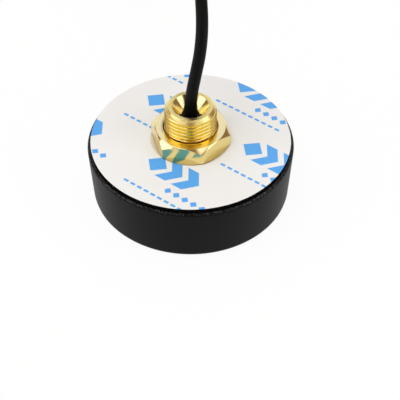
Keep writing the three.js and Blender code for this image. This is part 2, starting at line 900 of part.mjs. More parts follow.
function retainingRing() {
  const inner = plugNeckDiameter / 2 - ringGroove + plugFit;
  const low = neckStart + ringPlace + plugFit;
  return tube(inner, couplerNeckBore / 2 - plugFit, low, low + ringSection);
}

function couplingNut() {
  const corner = couplerFlats / Math.sqrt(3);
  const floor = couplerStart + couplerFloor;
  const envelope = turned([
    [0, couplerStart],
    [corner - couplerChamfer, couplerStart],
    [corner, couplerStart + couplerChamfer],
    [corner, couplerEnd - couplerChamfer],
    [corner - couplerChamfer, couplerEnd],
    [0, couplerEnd],
  ], roundSides);
  const hollow = turned([
    [0, couplerStart - cutOverrun],
    [couplerNeckBore / 2, couplerStart - cutOverrun],
    [couplerNeckBore / 2, floor],
    [couplerBore / 2, floor],
    [couplerBore / 2, couplerEnd - couplerChamfer],
    [couplerBore / 2 + couplerChamfer, couplerEnd],
    [couplerBore / 2 + couplerChamfer, couplerEnd + cutOverrun],
    [0, couplerEnd + cutOverrun],
  ], threadSides);
  const prism = hexPrism(couplerFlats, couplerStart, couplerEnd, couplerTurn);
  return cut(overlapOf(prism, envelope), hollow);
}

function plugGasket() {
  const low = couplerStart + couplerFloor + plugFit;
  const inner = plugBarrelDiameter / 2 + gasketFit;
  return tube(inner, couplerBore / 2 - gasketFit, low, low + gasketThickness, threadSides);
}

function plugInsulator() {
  const hole = plugPinDiameter / 2 + plugFit;
  return tube(hole, plugBarrelBore / 2 - plugFit, collarStart, barrelEnd - ringSection);
}

function plugPin() {
  const radius = plugPinDiameter / 2;
  return turned([
    [0, collarStart],
    [radius, collarStart],
    [radius, barrelEnd + plugPinReach - plugPinTip],
    [radius - plugPinTip / 2, barrelEnd + plugPinReach],
    [0, barrelEnd + plugPinReach],
  ], smallSides);
}

// The whole antenna

add("radome", radome(), "radomeBlack");
add("base_plate", basePlate(), "plateBlack");
add("housing_seal", housingSeal(), "sealRed");
screwPlaces.forEach(([x, y], i) => add(`plate_screw_${i + 1}`, plateScrew(x, y), "steel"));
add("adhesive_pad", foamPad(), "foamBlack");
add("release_liner", releaseLiner(), "linerWhite");
add("threaded_stud", stud(), "brass");
add("cable_bush", cableBush(), "rubberBlack");
add("captive_washer", captiveWasher(), "steel");
add("hex_nut", hexNut(), "brass");
add("patch_electrode", patchElectrode(), "silver");
add("patch_ceramic", patchCeramic(), "ceramic");
add("patch_tape", patchTape(), "clearPlastic");
add("feed_pin", feedPin(), "brass");
add("feed_solder", feedSolder(), "tin");
add("antenna_board", antennaBoard(), "board");
add("shield_can", shieldCan(), "tin");
addShieldedChips();
addInnerLead();

const windings = coilRoute();
console.log(`least gap between the coil's turns ${leastCoilGap(windings).toFixed(3)} mm`);
console.log(`mean diameter of the coil ${(2 * coilMeanRadius).toFixed(2)} mm`);
const landing = [-coilOuterRadius, coilPlace - cableDiameter - cableGap, coilTopHeight];
add("coax_cable", leadTube([...freeRoute, landing], cableDiameter), "cableBlack");
add("cable_coil", coilTube(windings), "cableBlack");
add("cable_tail", leadTube(tailRoute(), cableDiameter), "cableBlack");
for (let i = 0; i < tieCount; i += 1) {
  add(`coil_tie_${i + 1}`, coilTie(tieTurn + (i * 360) / tieCount), "tieBlack");
}

add("plug_sleeve", plugSleeve(), "rubberBlack", plug);
add("crimp_ferrule", crimpFerrule(), "gold", plug);
add("plug_body", plugBody(), "gold", plug);
add("retaining_ring", retainingRing(), "steel", plug);
add("coupling_nut", couplingNut(), "gold", plug);
add("plug_gasket", plugGasket(), "sealRed", plug);
add("plug_insulator", plugInsulator(), "clearPlastic", plug);
add("plug_pin", plugPin(), "gold", plug);

export default antenna;
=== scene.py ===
# %% [markdown]
# A satellite antenna puck of the kind that is screwed to a roof, lying on its radome. It is a
# black plastic cup closed by a base plate. A foam pad with a white release liner lies on the plate,
# and a hollow brass stud with a hex nut stands in its middle. A thin coaxial lead comes out of the
# stud. The packed CAD model gives every place and size, so this script starts by loading it, and
# each piece that it adds rides on one of the model's bodies.
# %% Load the frame
import json
import math

import bmesh
import bpy
from mathutils import Matrix, Vector

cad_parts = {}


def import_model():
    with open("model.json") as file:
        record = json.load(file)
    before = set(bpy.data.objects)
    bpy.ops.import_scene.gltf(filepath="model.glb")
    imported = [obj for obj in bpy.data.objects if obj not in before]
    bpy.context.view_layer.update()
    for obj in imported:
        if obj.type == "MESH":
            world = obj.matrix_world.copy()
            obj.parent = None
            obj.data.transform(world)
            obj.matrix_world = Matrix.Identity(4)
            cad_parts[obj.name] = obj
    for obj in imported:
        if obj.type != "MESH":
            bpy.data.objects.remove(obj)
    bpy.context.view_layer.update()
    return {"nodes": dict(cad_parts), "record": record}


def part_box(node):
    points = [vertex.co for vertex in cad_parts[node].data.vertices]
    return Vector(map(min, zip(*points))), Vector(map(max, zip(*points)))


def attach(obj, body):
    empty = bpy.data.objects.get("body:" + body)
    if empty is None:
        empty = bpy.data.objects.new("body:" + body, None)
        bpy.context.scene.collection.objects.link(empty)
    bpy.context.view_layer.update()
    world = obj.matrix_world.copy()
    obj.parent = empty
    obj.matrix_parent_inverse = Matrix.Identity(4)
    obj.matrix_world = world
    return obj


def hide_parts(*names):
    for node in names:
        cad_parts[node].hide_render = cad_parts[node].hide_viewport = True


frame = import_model()
nodes = frame["nodes"]

# %% [markdown]
# The camera comes first, because everything else is judged through it. The puck's outline and the
# ellipse of its liner fix the view: the camera stands 0.3 m away in front of the puck and looks
# down at 45 degrees. A long lens keeps the ellipse nearly as flat as the photographed one.
# %% Camera
camera_place = Vector((0, -0.22238, 0.21686))
camera_target = Vector((0.001955, -0.02037, 0.0155))
lens_mm = 116.14
sensor_mm = 36


def placed(name, data):
    """A new object in the scene, made from a camera, a lamp or a mesh."""
    made = bpy.data.objects.new(name, data)
    bpy.context.scene.collection.objects.link(made)
    return made


def aim(thing, place, target):
    """Puts a camera or a lamp at a place and turns it towards its target."""
    thing.location = place
    thing.rotation_euler = (target - place).to_track_quat("-Z", "Y").to_euler()


camera_data = bpy.data.cameras.new("camera")
camera_data.lens = lens_mm
camera_data.sensor_width = sensor_mm
camera = placed("camera", camera_data)
aim(camera, camera_place, camera_target)
bpy.context.scene.camera = camera
print("camera distance", round((camera_target - camera_place).length, 4))

# %% [markdown]
# Shader maths reads best as plain sums. This small class wraps one socket of a material and gives
# it the operators of Python, so that an expression on values adds its own Math nodes. One method,
# node, makes any other node: it takes the node's type, its settings, the values or links of its
# inputs, and which output the new wire holds.
# %% A socket that can be used in sums


class Wire:
    """One output socket of a node tree, with the operators that the finishes use."""

    def __init__(self, tree, socket=None):
        self.tree = tree
        self.socket = socket

    def node(self, kind, settings=None, values=None, output=0):
        made = self.tree.nodes.new(kind)
        for name, value in (settings or {}).items():
            setattr(made, name, value)
        for key, value in (values or {}).items():
            self.feed(made.inputs[key], value)
        return Wire(self.tree, made.outputs[output] if made.outputs else None)

    def feed(self, socket, value):
        if isinstance(value, Wire):
            self.tree.links.new(value.socket, socket)
        else:
            socket.default_value = value

    def math(self, operation, *values):
        return self.node("ShaderNodeMath", {"operation": operation}, dict(enumerate(values)))

    def __add__(self, other):
        return self.math("ADD", self, other)

    def __radd__(self, other):
        return self.math("ADD", other, self)

    def __sub__(self, other):
        return self.math("SUBTRACT", self, other)

    def __rsub__(self, other):
        return self.math("SUBTRACT", other, self)

    def __mul__(self, other):
        return self.math("MULTIPLY", self, other)

    def __rmul__(self, other):
        return self.math("MULTIPLY", other, self)

    def __truediv__(self, other):
        return self.math("DIVIDE", self, other)

    def __abs__(self):
        return self.math("ABSOLUTE", self)

    def least(self, other):
        return self.math("MINIMUM", self, other)

    def most(self, other):
        return self.math("MAXIMUM", self, other)

    def clamped(self):
        return self.node("ShaderNodeClamp", None, {"Value": self})


print("operators ready", [name for name in vars(Wire) if name.startswith("__")][3:])

# %% [markdown]
# Each finish below is one function. They share a few helpers: a new material with its wire, a
# noise, a bump, and a mix of two colours. Object coordinates are the row's own metres, so a noise
# scale is a number of waves in a metre, and a pattern stays on its piece when the piece moves.
# %% Helpers for finishes


def new_finish(name, **constants):
    """A material with these constant values on its Principled shader."""
    material = bpy.data.materials.new(name)
    material.use_nodes = True
    shader = material.node_tree.nodes["Principled BSDF"]
    for socket, value in constants.items():
        shader.inputs[socket.replace("_", " ")].default_value = value
    return material, Wire(material.node_tree), shader


def place_of(wire):
    """The point's own place on its piece, in metres."""
    return wire.node("ShaderNodeTexCoord", output="Object")


def noise(wire, place, scale, detail=2.0, roughness=0.5):
    values = {"Vector": place, "Scale": scale, "Detail": detail, "Roughness": roughness}
    return wire.node("ShaderNodeTexNoise", {"noise_dimensions": "3D"}, values)


def stepped(value, start, full):
    """0 below start, 1 above full, with a soft step between them."""
    values = {"Value": value, "From Min": start, "From Max": full}
    return value.node("ShaderNodeMapRange", {"interpolation_type": "SMOOTHSTEP"}, values)


def before(value, start, full):
    """1 below start and 0 above full: stepped the other way round."""
    return 1 - stepped(value, start, full)


def mixed_colour(factor, low, high):
    """low where the factor is 0 and high where it is 1."""
    return factor.node("ShaderNodeMix", {"data_type": "RGBA"}, {0: factor, 6: low, 7: high}, 2)


def bumped(height, distance, strength=1.0):
    values = {"Height": height, "Distance": distance, "Strength": strength}
    return height.node("ShaderNodeBump", None, values)


def separated(wire, place):
    """The three parts of a vector, each as its own wire."""
    return [wire.node("ShaderNodeSeparateXYZ", None, {0: place}, axis) for axis in range(3)]


def joined(wire, x, y, z):
    return wire.node("ShaderNodeCombineXYZ", None, {0: x, 1: y, 2: z})


print("helpers for finishes ready")

# %% [markdown]
# The world and the floor make the white background. A camera ray sees plain white. For the object
# the world is a small product studio, because polished brass shows nothing but what it reflects. A
# picture of a real studio would do as well, but a few soft-edged windows in the direction of the
# ray are easier to move until each reflection falls where it should.
# %% World
background_white = (1, 1, 1, 1)

bpy.context.scene.view_settings.view_transform = "Standard"
world = bpy.data.worlds.new("studio")
bpy.context.scene.world = world
world.use_nodes = True
world.node_tree.nodes.clear()
sky = Wire(world.node_tree)
across, ahead, up = separated(sky, sky.node("ShaderNodeTexCoord", output="Generated"))
aside = abs(across)
print("view transform", bpy.context.scene.view_settings.view_transform)

# %% [markdown]
# The bright parts are a pair of soft boxes overhead, of which the front halves are a little
# brighter, and a brighter pair lower down at the sides. Each pair of numbers is a soft edge: the
# two values of the ray's direction between which the box begins or ends.
# %% Soft boxes
overhead = (0.66, 0.7)
top_box_inner, top_box_outer = (0.18, 0.25), (0.56, 0.66)
top_box_back, front_box_back = (0.0, 0.16), (-0.5, -0.38)
side_box_inner, side_box_back, side_box_foot = (0.62, 0.68), (0.05, 0.08), (0.16, 0.26)
back_slant = 0.11

back = ahead + across * back_slant
high = stepped(up, *overhead)
beneath = 1 - high
top_box = stepped(aside, *top_box_inner) * before(aside, *top_box_outer)
top_box = top_box * before(ahead, *top_box_back) * high
front_box = top_box * before(ahead, *front_box_back)
side_box = stepped(aside, *side_box_inner) * before(back, *side_box_back)
side_box = side_box * stepped(up, *side_box_foot) * beneath
print("the side boxes start", side_box_foot[0], "up")

# %% [markdown]
# The dark parts are the camera between the boxes with its arm above, and the side walls behind,
# which are a little less dark higher up. They give the brass its dark accents.
# %% Dark parts
wall_inner, wall_front, wall_foot, wall_top = (0.5, 0.64), (0.05, 0.1), (0.04, 0.12), (0.44, 0.54)
wall_top_fade = 0.4
arm_back = (0.02, 0.12)
lens_back, lens_foot = (-0.36, -0.3), (0.4, 0.5)

side_wall = stepped(aside, *wall_inner) * stepped(back, *wall_front) * stepped(up, *wall_foot)
side_wall = side_wall * (1 - stepped(up, *wall_top) * wall_top_fade)
arm = before(aside, *top_box_inner) * before(ahead, *arm_back) * high
lens = before(aside, *side_box_inner) * before(ahead, *lens_back)
lens = lens * stepped(up, *lens_foot) * beneath
shade = arm.most(lens).most(side_wall)
print("the walls start", wall_front[0], "behind the middle")

# %% [markdown]
# Each part now gets its level. The studio is nearly white, so that the boxes add only the glints,
# and the dark parts have the warm tint of a dim room.
# %% Studio light
studio_level = 0.9
top_box_gain = 0.15
front_box_gain = 0.22
side_box_gain = 0.9
dark_level = 0.27
dark_tint = (1, 0.66, 0.4, 1)

studio = studio_level + top_box * top_box_gain + front_box * front_box_gain
studio = studio + side_box * side_box_gain
studio = studio + shade * (dark_level - studio)
tint = mixed_colour(shade, background_white, dark_tint)
from_camera = sky.node("ShaderNodeLightPath", output="Is Camera Ray")
lamp_light = sky.node("ShaderNodeBackground", None, {0: tint, 1: studio})
seen_light = sky.node("ShaderNodeBackground", None, {0: background_white, 1: 1.0})
shown = sky.node("ShaderNodeMixShader", None, {0: from_camera, 1: lamp_light, 2: seen_light})
sky.node("ShaderNodeOutputWorld", None, {0: shown})
print("studio", studio_level, "brightest", studio_level + side_box_gain, "dark parts", dark_level)

# %% [markdown]
# The floor is one large pale sheet. To the camera and to reflections it adds a white of its own, so
# it ends without a visible horizon, and the rest of its colour is lit, so the shadow stays.
# %% Floor
floor_size = 4.0
floor_pale = (0.9, 0.9, 0.9, 1)
floor_glow_share = 0.94


def studio_sheet(name, corners, finish):
    """A flat sheet of the studio, which is no part of the object."""
    mesh = bpy.data.meshes.new(name)
    mesh.from_pydata(corners, [], [(0, 1, 2, 3)])
    mesh.materials.append(finish)
    sheet = placed(name, mesh)
    return sheet


floor_finish = bpy.data.materials.new("pale_floor")
floor_finish.use_nodes = True
floor_finish.node_tree.nodes.clear()
floor_wire = Wire(floor_finish.node_tree)
camera_ray, glossy_ray, clear_ray = [
    floor_wire.node("ShaderNodeLightPath", output=f"Is {kind} Ray")
    for kind in ("Camera", "Glossy", "Transmission")
]
seen = (camera_ray + glossy_ray + clear_ray).clamped()
lit = floor_wire.node("ShaderNodeBsdfDiffuse", None, {0: floor_pale})
glow = floor_wire.node("ShaderNodeEmission", None, {0: background_white, 1: 1.0})
mixed = floor_wire.node("ShaderNodeMixShader", None, {0: seen * floor_glow_share, 1: lit, 2: glow})
floor_wire.node("ShaderNodeOutputMaterial", None, {0: mixed})
half = floor_size / 2
floor_corners = [(-half, -half, 0), (half, -half, 0), (half, half, 0), (-half, half, 0)]
studio_sheet("floor", floor_corners, floor_finish)
print("floor", floor_size, "m")

# %% [markdown]
# A dark card lies on the floor in front, just out of the picture. The flanks of the thread mirror
# each other and then this place, so the card draws the dark column down the middle of the thread.
# It is there for reflections only, so the camera, the floor's light and the shadows pass it by.
# %% Dark card
card_near = 0.058
card_far = 0.3
card_slope = 0.2
card_lift = 0.0002
card_grain = 60
card_dark = (0.07, 0.035, 0.012, 1)
card_pale = (0.12, 0.06, 0.022, 1)

card_finish, card_wire, card_shader = new_finish("dark_card", Roughness=0.9)
card_shade = noise(card_wire, place_of(card_wire), card_grain)
card_wire.feed(card_shader.inputs["Base Color"], mixed_colour(card_shade, card_dark, card_pale))
card = studio_sheet("dark_card", [
    (side * card_slope * reach, -reach, card_lift)
    for side, reach in ((-1, card_near), (-1, card_far), (1, card_far), (1, card_near))
], card_finish)
card.visible_camera = False
card.visible_diffuse = False
card.visible_shadow = False
print("card", card_near, "to", card_far, "m in front")

# %% [markdown]
# One large soft lamp stands above the object and gives the faint shadow its direction. It is weak,
# because the white studio already lights everything at a plain level. It is kept out of mirror
# images, since a bright square between the soft boxes would hide the camera's dark reflection.
# %% Lamp
lamp_aim = Vector((0, 0, 0.012))
lamp_place = Vector((-0.12, -0.16, 0.7))
lamp_size = 0.4
lamp_power = 1.7

lamp_data = bpy.data.lights.new("soft_lamp", "AREA")
lamp_data.shape = "SQUARE"
lamp_data.size = lamp_size
lamp_data.energy = lamp_power
lamp = placed("soft_lamp", lamp_data)
aim(lamp, lamp_place, lamp_aim)
lamp.visible_glossy = False
print("lamp", lamp_power, "W")

# %% [markdown]
# The radome is moulded black plastic with a fine even spark-eroded texture. It is hardly glossy,
# so its wall stays dark and only its left and right ends, seen at a low angle, turn grey. The
# texture is a noise with waves a fifth of a millimetre long. A picture of plastic would need a
# mapping, which a noise in the piece's own metres does without.
# %% Radome plastic
radome_grain, radome_cloud = 5200, 160
radome_black = (0.001, 0.0011, 0.0011, 1)
radome_pale = (0.0022, 0.0023, 0.0023, 1)


def radome_plastic():
    material, wire, shader = new_finish("radome_plastic", Specular_IOR_Level=0.1)
    place = place_of(wire)
    grain = noise(wire, place, radome_grain, 3)
    colour = mixed_colour(noise(wire, place, radome_cloud, 2), radome_black, radome_pale)
    wire.feed(shader.inputs["Base Color"], colour)
    wire.feed(shader.inputs["Roughness"], 0.4 + grain * 0.12)
    wire.feed(shader.inputs["Normal"], bumped(grain, 0.00004, 0.5))
    return material


print("radome texture", round(1000 / radome_grain, 2), "mm")

# %% [markdown]
# The base plate is smoother than the cup, and its rounded rim has been polished here and there by
# handling. A coat that a noise breaks into short pieces lies on the rounding alone, and gives the
# broken bright line that the photograph shows there.
# %% Base plate plastic
polished_levels = (0.01412, 0.01424)
polished_spots, polished_share = 2400, (0.4, 0.7)
plate_waves, plate_grain = 420, 3600
plate_black = (0.0016, 0.0016, 0.0017, 1)
plate_pale = (0.003, 0.003, 0.0031, 1)


def plate_plastic():
    material, wire, shader = new_finish(
        "plate_plastic", Specular_IOR_Level=0.1, Coat_IOR=1.6, Coat_Roughness=0.24,
    )
    place = place_of(wire)
    _, _, z = separated(wire, place)
    waves = noise(wire, place, plate_waves, 2)
    spots = stepped(noise(wire, place, polished_spots, 3), *polished_share)
    wire.feed(shader.inputs["Coat Weight"], spots * stepped(z, *polished_levels))
    grain = noise(wire, place, plate_grain, 2)
    wire.feed(shader.inputs["Base Color"], mixed_colour(waves, plate_black, plate_pale))
    wire.feed(shader.inputs["Roughness"], 0.2 + waves * 0.16)
    wire.feed(shader.inputs["Normal"], bumped(waves * 0.8 + grain * 0.2, 0.00022, 0.8))
    return material


print("the plate's rim is polished above", polished_levels[0])

# %% [markdown]
# The pad is closed-cell foam: deep black, dull and full of small cells, which a Voronoi pattern
# draws better than a noise.
# %% Foam
foam_cells = 3200
foam_black = (0.001, 0.001, 0.001, 1)
foam_pale = (0.004, 0.004, 0.0042, 1)


def pad_foam():
    material, wire, shader = new_finish("pad_foam", Specular_IOR_Level=0.05)
    cells = wire.node("ShaderNodeTexVoronoi", None, {"Vector": place_of(wire), "Scale": foam_cells})
    wire.feed(shader.inputs["Base Color"], mixed_colour(cells, foam_black, foam_pale))
    wire.feed(shader.inputs["Roughness"], 0.75 + cells * 0.2)
    wire.feed(shader.inputs["Normal"], bumped(cells, 0.00012))
    return material


print("foam cells", round(1000 / foam_cells, 2), "mm")

# %% [markdown]
# The release liner is a white film with light blue printing that repeats in slanting rows. The
# print here is a plain pattern: a pair of arrow heads with a diamond, a row of short dashes and a
# row of dots. Each shape is a distance: it is below zero inside. The lower of two distances is both
# shapes together, and folding the coordinates with a wrap repeats them all over the liner.
# %% Shapes of the print


def wrapped(value, pitch):
    """Folds a coordinate, so that what is drawn round zero repeats at every pitch."""
    return value.math("WRAP", value, pitch / 2, -pitch / 2)


def box_shape(u, v, place, size):
    """Distance to an upright box, from its middle and its half sizes."""
    return (abs(u - place[0]) - size[0]).most(abs(v - place[1]) - size[1])


def arrow_shape(u, v, place, size, slope):
    """Distance to an arrow head: a box that leans back above and below its middle line."""
    lean = u + abs(v - place[1]) * slope
    return box_shape(lean, v, place, size)


def diamond_shape(u, v, place, size):
    """Distance to a square that stands on its corner."""
    return abs(u - place[0]) + abs(v - place[1]) - size


print("shapes of the print ready")

# %% [markdown]
# The marks are placed in a tile of the print, with u along the row and v across it. Every second
# row is shifted by half a tile, as on printed tape. Places and half sizes are in metres.
# %% Print
print_angle = math.radians(-38)
print_shift = (-0.0036, -0.0153)
print_pitch = (0.0285, 0.0172)
print_edge = 0.00011
arrow_places = ((-0.0016, 0.0028), (0.0031, 0.0028))
arrow_size, arrow_slope = (0.0015, 0.0033), 0.75
diamond_place, diamond_size = (-0.0072, 0.0028), 0.0027
dot_row_place, dot_row_size = (0.0052, -0.0026), (0.0059, 0.001)
dot_pitch, dot_size = 0.0024, 0.00095
dash_row_place, dash_row_size = (-0.0012, -0.0056), (0.0095, 0.001)
dash_pitch, dash_size = 0.0019, (0.00062, 0.00032)


def print_mask(wire, place):
    """1 on the printed marks and 0 beside them."""
    x, y, _ = separated(wire, place)
    x, y = x - print_shift[0], y - print_shift[1]
    cosine, sine = math.cos(print_angle), math.sin(print_angle)
    turned_u = x * cosine + y * sine
    turned_v = y * cosine - x * sine
    row = turned_v / print_pitch[1] + 0.5
    row = row.math("FLOOR", row)
    u = wrapped(turned_u + row * (print_pitch[0] / 2), print_pitch[0])
    v = wrapped(turned_v, print_pitch[1])
    marks = diamond_shape(u, v, diamond_place, diamond_size)
    for arrow_place in arrow_places:
        marks = marks.least(arrow_shape(u, v, arrow_place, arrow_size, arrow_slope))
    dots = diamond_shape(wrapped(u, dot_pitch), v, (0, dot_row_place[1]), dot_size)
    marks = marks.least(dots.most(box_shape(u, v, dot_row_place, dot_row_size)))
    dashes = box_shape(wrapped(u, dash_pitch), v, (0, dash_row_place[1]), dash_size)
    marks = marks.least(dashes.most(box_shape(u, v, dash_row_place, dash_row_size)))
    return before(marks, -print_edge, print_edge)


print("a tile of the print is", print_pitch[0], "by", print_pitch[1], "m")

# %% [markdown]
# The film itself is white and a little uneven, with a soft sheen, and the ink is speckled, because
# a quick printing roller leaves tiny gaps.
# %% Printed liner
liner_cloud, ink_speck = 90, 4200
liner_white = (0.81, 0.815, 0.81, 1)
liner_white_low = (0.775, 0.78, 0.775, 1)
print_blue = (0.072, 0.34, 0.8, 1)
print_blue_pale = (0.11, 0.4, 0.84, 1)


def liner_film():
    material, wire, shader = new_finish("liner_film", Specular_IOR_Level=0.35)
    place = place_of(wire)
    cloud = noise(wire, place, liner_cloud, 2)
    speck = stepped(noise(wire, place, ink_speck, 2), 0.35, 0.65)
    paper = mixed_colour(cloud, liner_white_low, liner_white)
    ink = mixed_colour(speck, print_blue, print_blue_pale)
    wire.feed(shader.inputs["Base Color"], mixed_colour(print_mask(wire, place), paper, ink))
    wire.feed(shader.inputs["Roughness"], 0.42 + cloud * 0.12)
    wire.feed(shader.inputs["Normal"], bumped(cloud, 0.0004, 0.25))
    return material


print("liner white", liner_white[:3], "ink", print_blue[:3])

# %% [markdown]
# Turned brass shows fine rings from the cutting tool, a little uneven in depth. A noise that is
# read by the distance from the axis and the height, and hardly by the angle, makes such rings on
# any turned face. Slightly darker, warmer brass lies in the deeper marks. The nut's top and the
# cone are painted paler where they face up: a painted highlight. The thread's grooves get a
# painted shade of deeper gold, and the nut's bore a painted shade of brown. The stud's end is
# worn by handling, so its ring and chamfer are dull next to the polished cone. Each of these
# zones is a pair of radii or levels, between which it begins or ends.
# %% Polished brass
ring_waves, ring_angle_share, brass_cloud = 9000, 0.02, 420
worn_dullness = 0.15
worn_levels = (0.0242, 0.0246)
worn_radii = (0.0041, 0.0043)
# How far a face must look up before the nut's top and the cone get the painted highlight.
highlight_slope_up = (0.45, 0.95)
cone_radii = (0.0042, 0.0043)
nut_radii = (0.0062, 0.0066)
# Zones of painted shade: the thread's grooves and the nut's bore.
groove_start, groove_end = (0.0049, 0.0051), (0.0057, 0.006)
groove_levels = (0.0241, 0.0246)
bore_start, bore_end = (0.00602, 0.00606), (0.0064, 0.0065)
# The pale colour is a painted highlight; the groove and bore colours are painted shade.
brass_painted_highlight = (0.93, 0.81, 0.46, 1)
brass_bright = (0.94, 0.78, 0.35, 1)
brass_deep = (0.9, 0.72, 0.27, 1)
brass_painted_groove_shade = (0.95, 0.75, 0.2, 1)
brass_painted_bore_shade = (0.6, 0.33, 0.08, 1)


def brass_finish():
    material, wire, shader = new_finish("polished_brass", Metallic=1.0)
    place = place_of(wire)
    x, y, z = separated(wire, place)
    radius = x * x + y * y
    radius = radius.math("SQRT", radius)
    rings = noise(wire, joined(wire, radius, x * ring_angle_share, z), ring_waves, 2)
    cloud = noise(wire, place, brass_cloud, 3)
    colour = mixed_colour(cloud * 0.6 + rings * 0.4, brass_deep, brass_bright)
    # Painted highlight: brass that faces up on the nut and in the cone is painted paler.
    _, _, facing_up = separated(wire, wire.node("ShaderNodeTexCoord", output="Normal"))
    on_top = stepped(radius, *nut_radii) + before(radius, *cone_radii)
    colour = mixed_colour(stepped(facing_up, *highlight_slope_up) * on_top, colour, brass_painted_highlight)
    # Painted shade: the thread's grooves get a deeper gold.
    groove = stepped(radius, *groove_start) * before(radius, *groove_end)
    colour = mixed_colour(groove * before(z, *groove_levels), colour, brass_painted_groove_shade)
    # Painted shade: the nut's bore is painted brown.
    bore = stepped(radius, *bore_start) * before(radius, *bore_end)
    wire.feed(shader.inputs["Base Color"], mixed_colour(bore, colour, brass_painted_bore_shade))
    worn = stepped(z, *worn_levels) * stepped(radius, *worn_radii)
    wire.feed(shader.inputs["Roughness"], 0.06 + cloud * 0.07 + rings * 0.05 + worn * worn_dullness)
    wire.feed(shader.inputs["Normal"], bumped(rings, 0.00002, 0.6))
    return material


print("brass rings", round(1000 / ring_waves, 2), "mm")

# %% [markdown]
# The lead's jacket is soft black plastic, extruded, so its surface is smooth with faint marks. It
# is a little glossier than the radome: a soft light line runs along it.
# %% Lead jacket
jacket_grain, jacket_cloud = 2600, 240
jacket_black = (0.0008, 0.0008, 0.0008, 1)
jacket_pale = (0.0018, 0.0018, 0.0017, 1)


def lead_finish():
    material, wire, shader = new_finish("lead_jacket", Specular_IOR_Level=0.12)
    place = place_of(wire)
    grain = noise(wire, place, jacket_grain, 2)
    colour = mixed_colour(noise(wire, place, jacket_cloud, 2), jacket_black, jacket_pale)
    wire.feed(shader.inputs["Base Color"], colour)
    wire.feed(shader.inputs["Roughness"], 0.4 + grain * 0.14)
    wire.feed(shader.inputs["Normal"], bumped(grain, 0.00003, 0.5))
    return material


print("jacket marks", round(1000 / jacket_grain, 2), "mm")

# %% [markdown]
# The other finishes differ only in colour, grain and gloss, so one function makes them all: a base
# colour that drifts between two shades, a grain in the roughness and a shallow bump. The table
# gives, for each slot, the finish's name, its dark and its pale shade, its roughness, the waves of
# its grain in a metre, the depth of its bump, and 1 for a metal.
# %% Plain finishes
cloud_share = 9
roughness_spread = 0.06
plain_bump = 0.6


def plain_finish(name, dark, pale, roughness, scale, depth, metallic=0.0):
    material, wire, shader = new_finish(name, Metallic=metallic)
    place = place_of(wire)
    grain = noise(wire, place, scale, 3)
    cloud = noise(wire, place, scale / cloud_share, 2)
    dull = roughness - roughness_spread + grain * (2 * roughness_spread)
    wire.feed(shader.inputs["Base Color"], mixed_colour(cloud, (*dark, 1), (*pale, 1)))
    wire.feed(shader.inputs["Roughness"], dull)
    wire.feed(shader.inputs["Normal"], bumped(grain, depth, plain_bump))
    return material


plain_looks = {
    "seal": ("seal_silicone", (0.3, 0.1, 0.06), (0.4, 0.14, 0.08), 0.5, 2500, 0.00003),
    "steel": ("plain_steel", (0.42, 0.43, 0.45), (0.55, 0.56, 0.58), 0.3, 5200, 0.00001, 1),
    "rubber": ("black_rubber", (0.004, 0.004, 0.004), (0.009, 0.009, 0.009), 0.65, 3600, 0.00003),
    "silver": ("fired_silver", (0.55, 0.55, 0.53), (0.68, 0.68, 0.66), 0.4, 4200, 0.00002, 1),
    "ceramic": ("fired_ceramic", (0.4, 0.3, 0.2), (0.52, 0.4, 0.28), 0.6, 3000, 0.00003),
    "tape": ("adhesive_film", (0.68, 0.65, 0.55), (0.78, 0.76, 0.67), 0.45, 1500, 0.00002),
    "tin": ("tinned_metal", (0.46, 0.47, 0.49), (0.62, 0.63, 0.65), 0.35, 2500, 0.00003, 1),
    "board": ("green_board", (0.01, 0.08, 0.022), (0.02, 0.12, 0.035), 0.35, 3000, 0.00001),
    "chip": ("moulded_chip", (0.01, 0.01, 0.012), (0.018, 0.018, 0.02), 0.5, 5000, 0.00002),
    "copper": ("bare_copper", (0.48, 0.2, 0.1), (0.62, 0.28, 0.15), 0.35, 4000, 0.00003, 1),
    "dielectric": ("insulation", (0.78, 0.77, 0.72), (0.88, 0.87, 0.83), 0.4, 2000, 0.00001),
    "tie": ("strap_black", (0.006, 0.006, 0.006), (0.012, 0.012, 0.012), 0.55, 3000, 0.00004),
    "gold_plate": ("gold_plate", (0.72, 0.46, 0.15), (0.86, 0.6, 0.24), 0.18, 3000, 0.00001, 1),
}
finishes = {slot: plain_finish(*look) for slot, look in plain_looks.items()}
finishes.update({
    "radome": radome_plastic(),
    "base": plate_plastic(),
    "pad": pad_foam(),
    "liner": liner_film(),
    "brass": brass_finish(),
    "cable": lead_finish(),
})
print("finishes", len(finishes))

# %% [markdown]
# Every CAD node gets its finish by its slot in the record. The pieces that stay hidden inside the
# housing keep their CAD mesh, because its shape is already right.
# %% Finish the CAD nodes
for entry in frame["record"]["subparts"]:
    data = nodes[entry["node"]].data
    data.materials.clear()
    data.materials.append(finishes[entry["material_slot"]])

# %% [markdown]
# The pieces that show are made again with finer surfaces, since the CAD solids have few facets. All
# of them start as rings of points. A point of a ring is given by its distance from the Z axis, its
# angle and its height, because nearly everything here was turned on a lathe.
# %% Rings of points
ring_sides = 192
small_sides = 64


def even_turns(sides):
    """Angles of a ring, of which the last closes it."""
    return [2 * math.pi * i / sides for i in range(sides + 1)]


def polar(radius, turn, height):
    """A point from its distance to the Z axis, its angle and its height."""
    return (radius * math.cos(turn), radius * math.sin(turn), height)


def around(radius, height, turns):
    """A ring of points round the Z axis at these angles."""
    return [polar(radius, turn, height) for turn in turns]


print("a fine ring has", ring_sides, "sides and a small one", small_sides)

# %% [markdown]
# Every visible piece is a skin: rings of points that quads join, one ring to the next and the last
# to the first. Screw and Spin modifiers could turn an outline too, but a skin also takes rings that
# climb or have corners. Points that coincide are merged, so a ring may shrink to a point.
# %% Skins
merge_distance = 1e-7


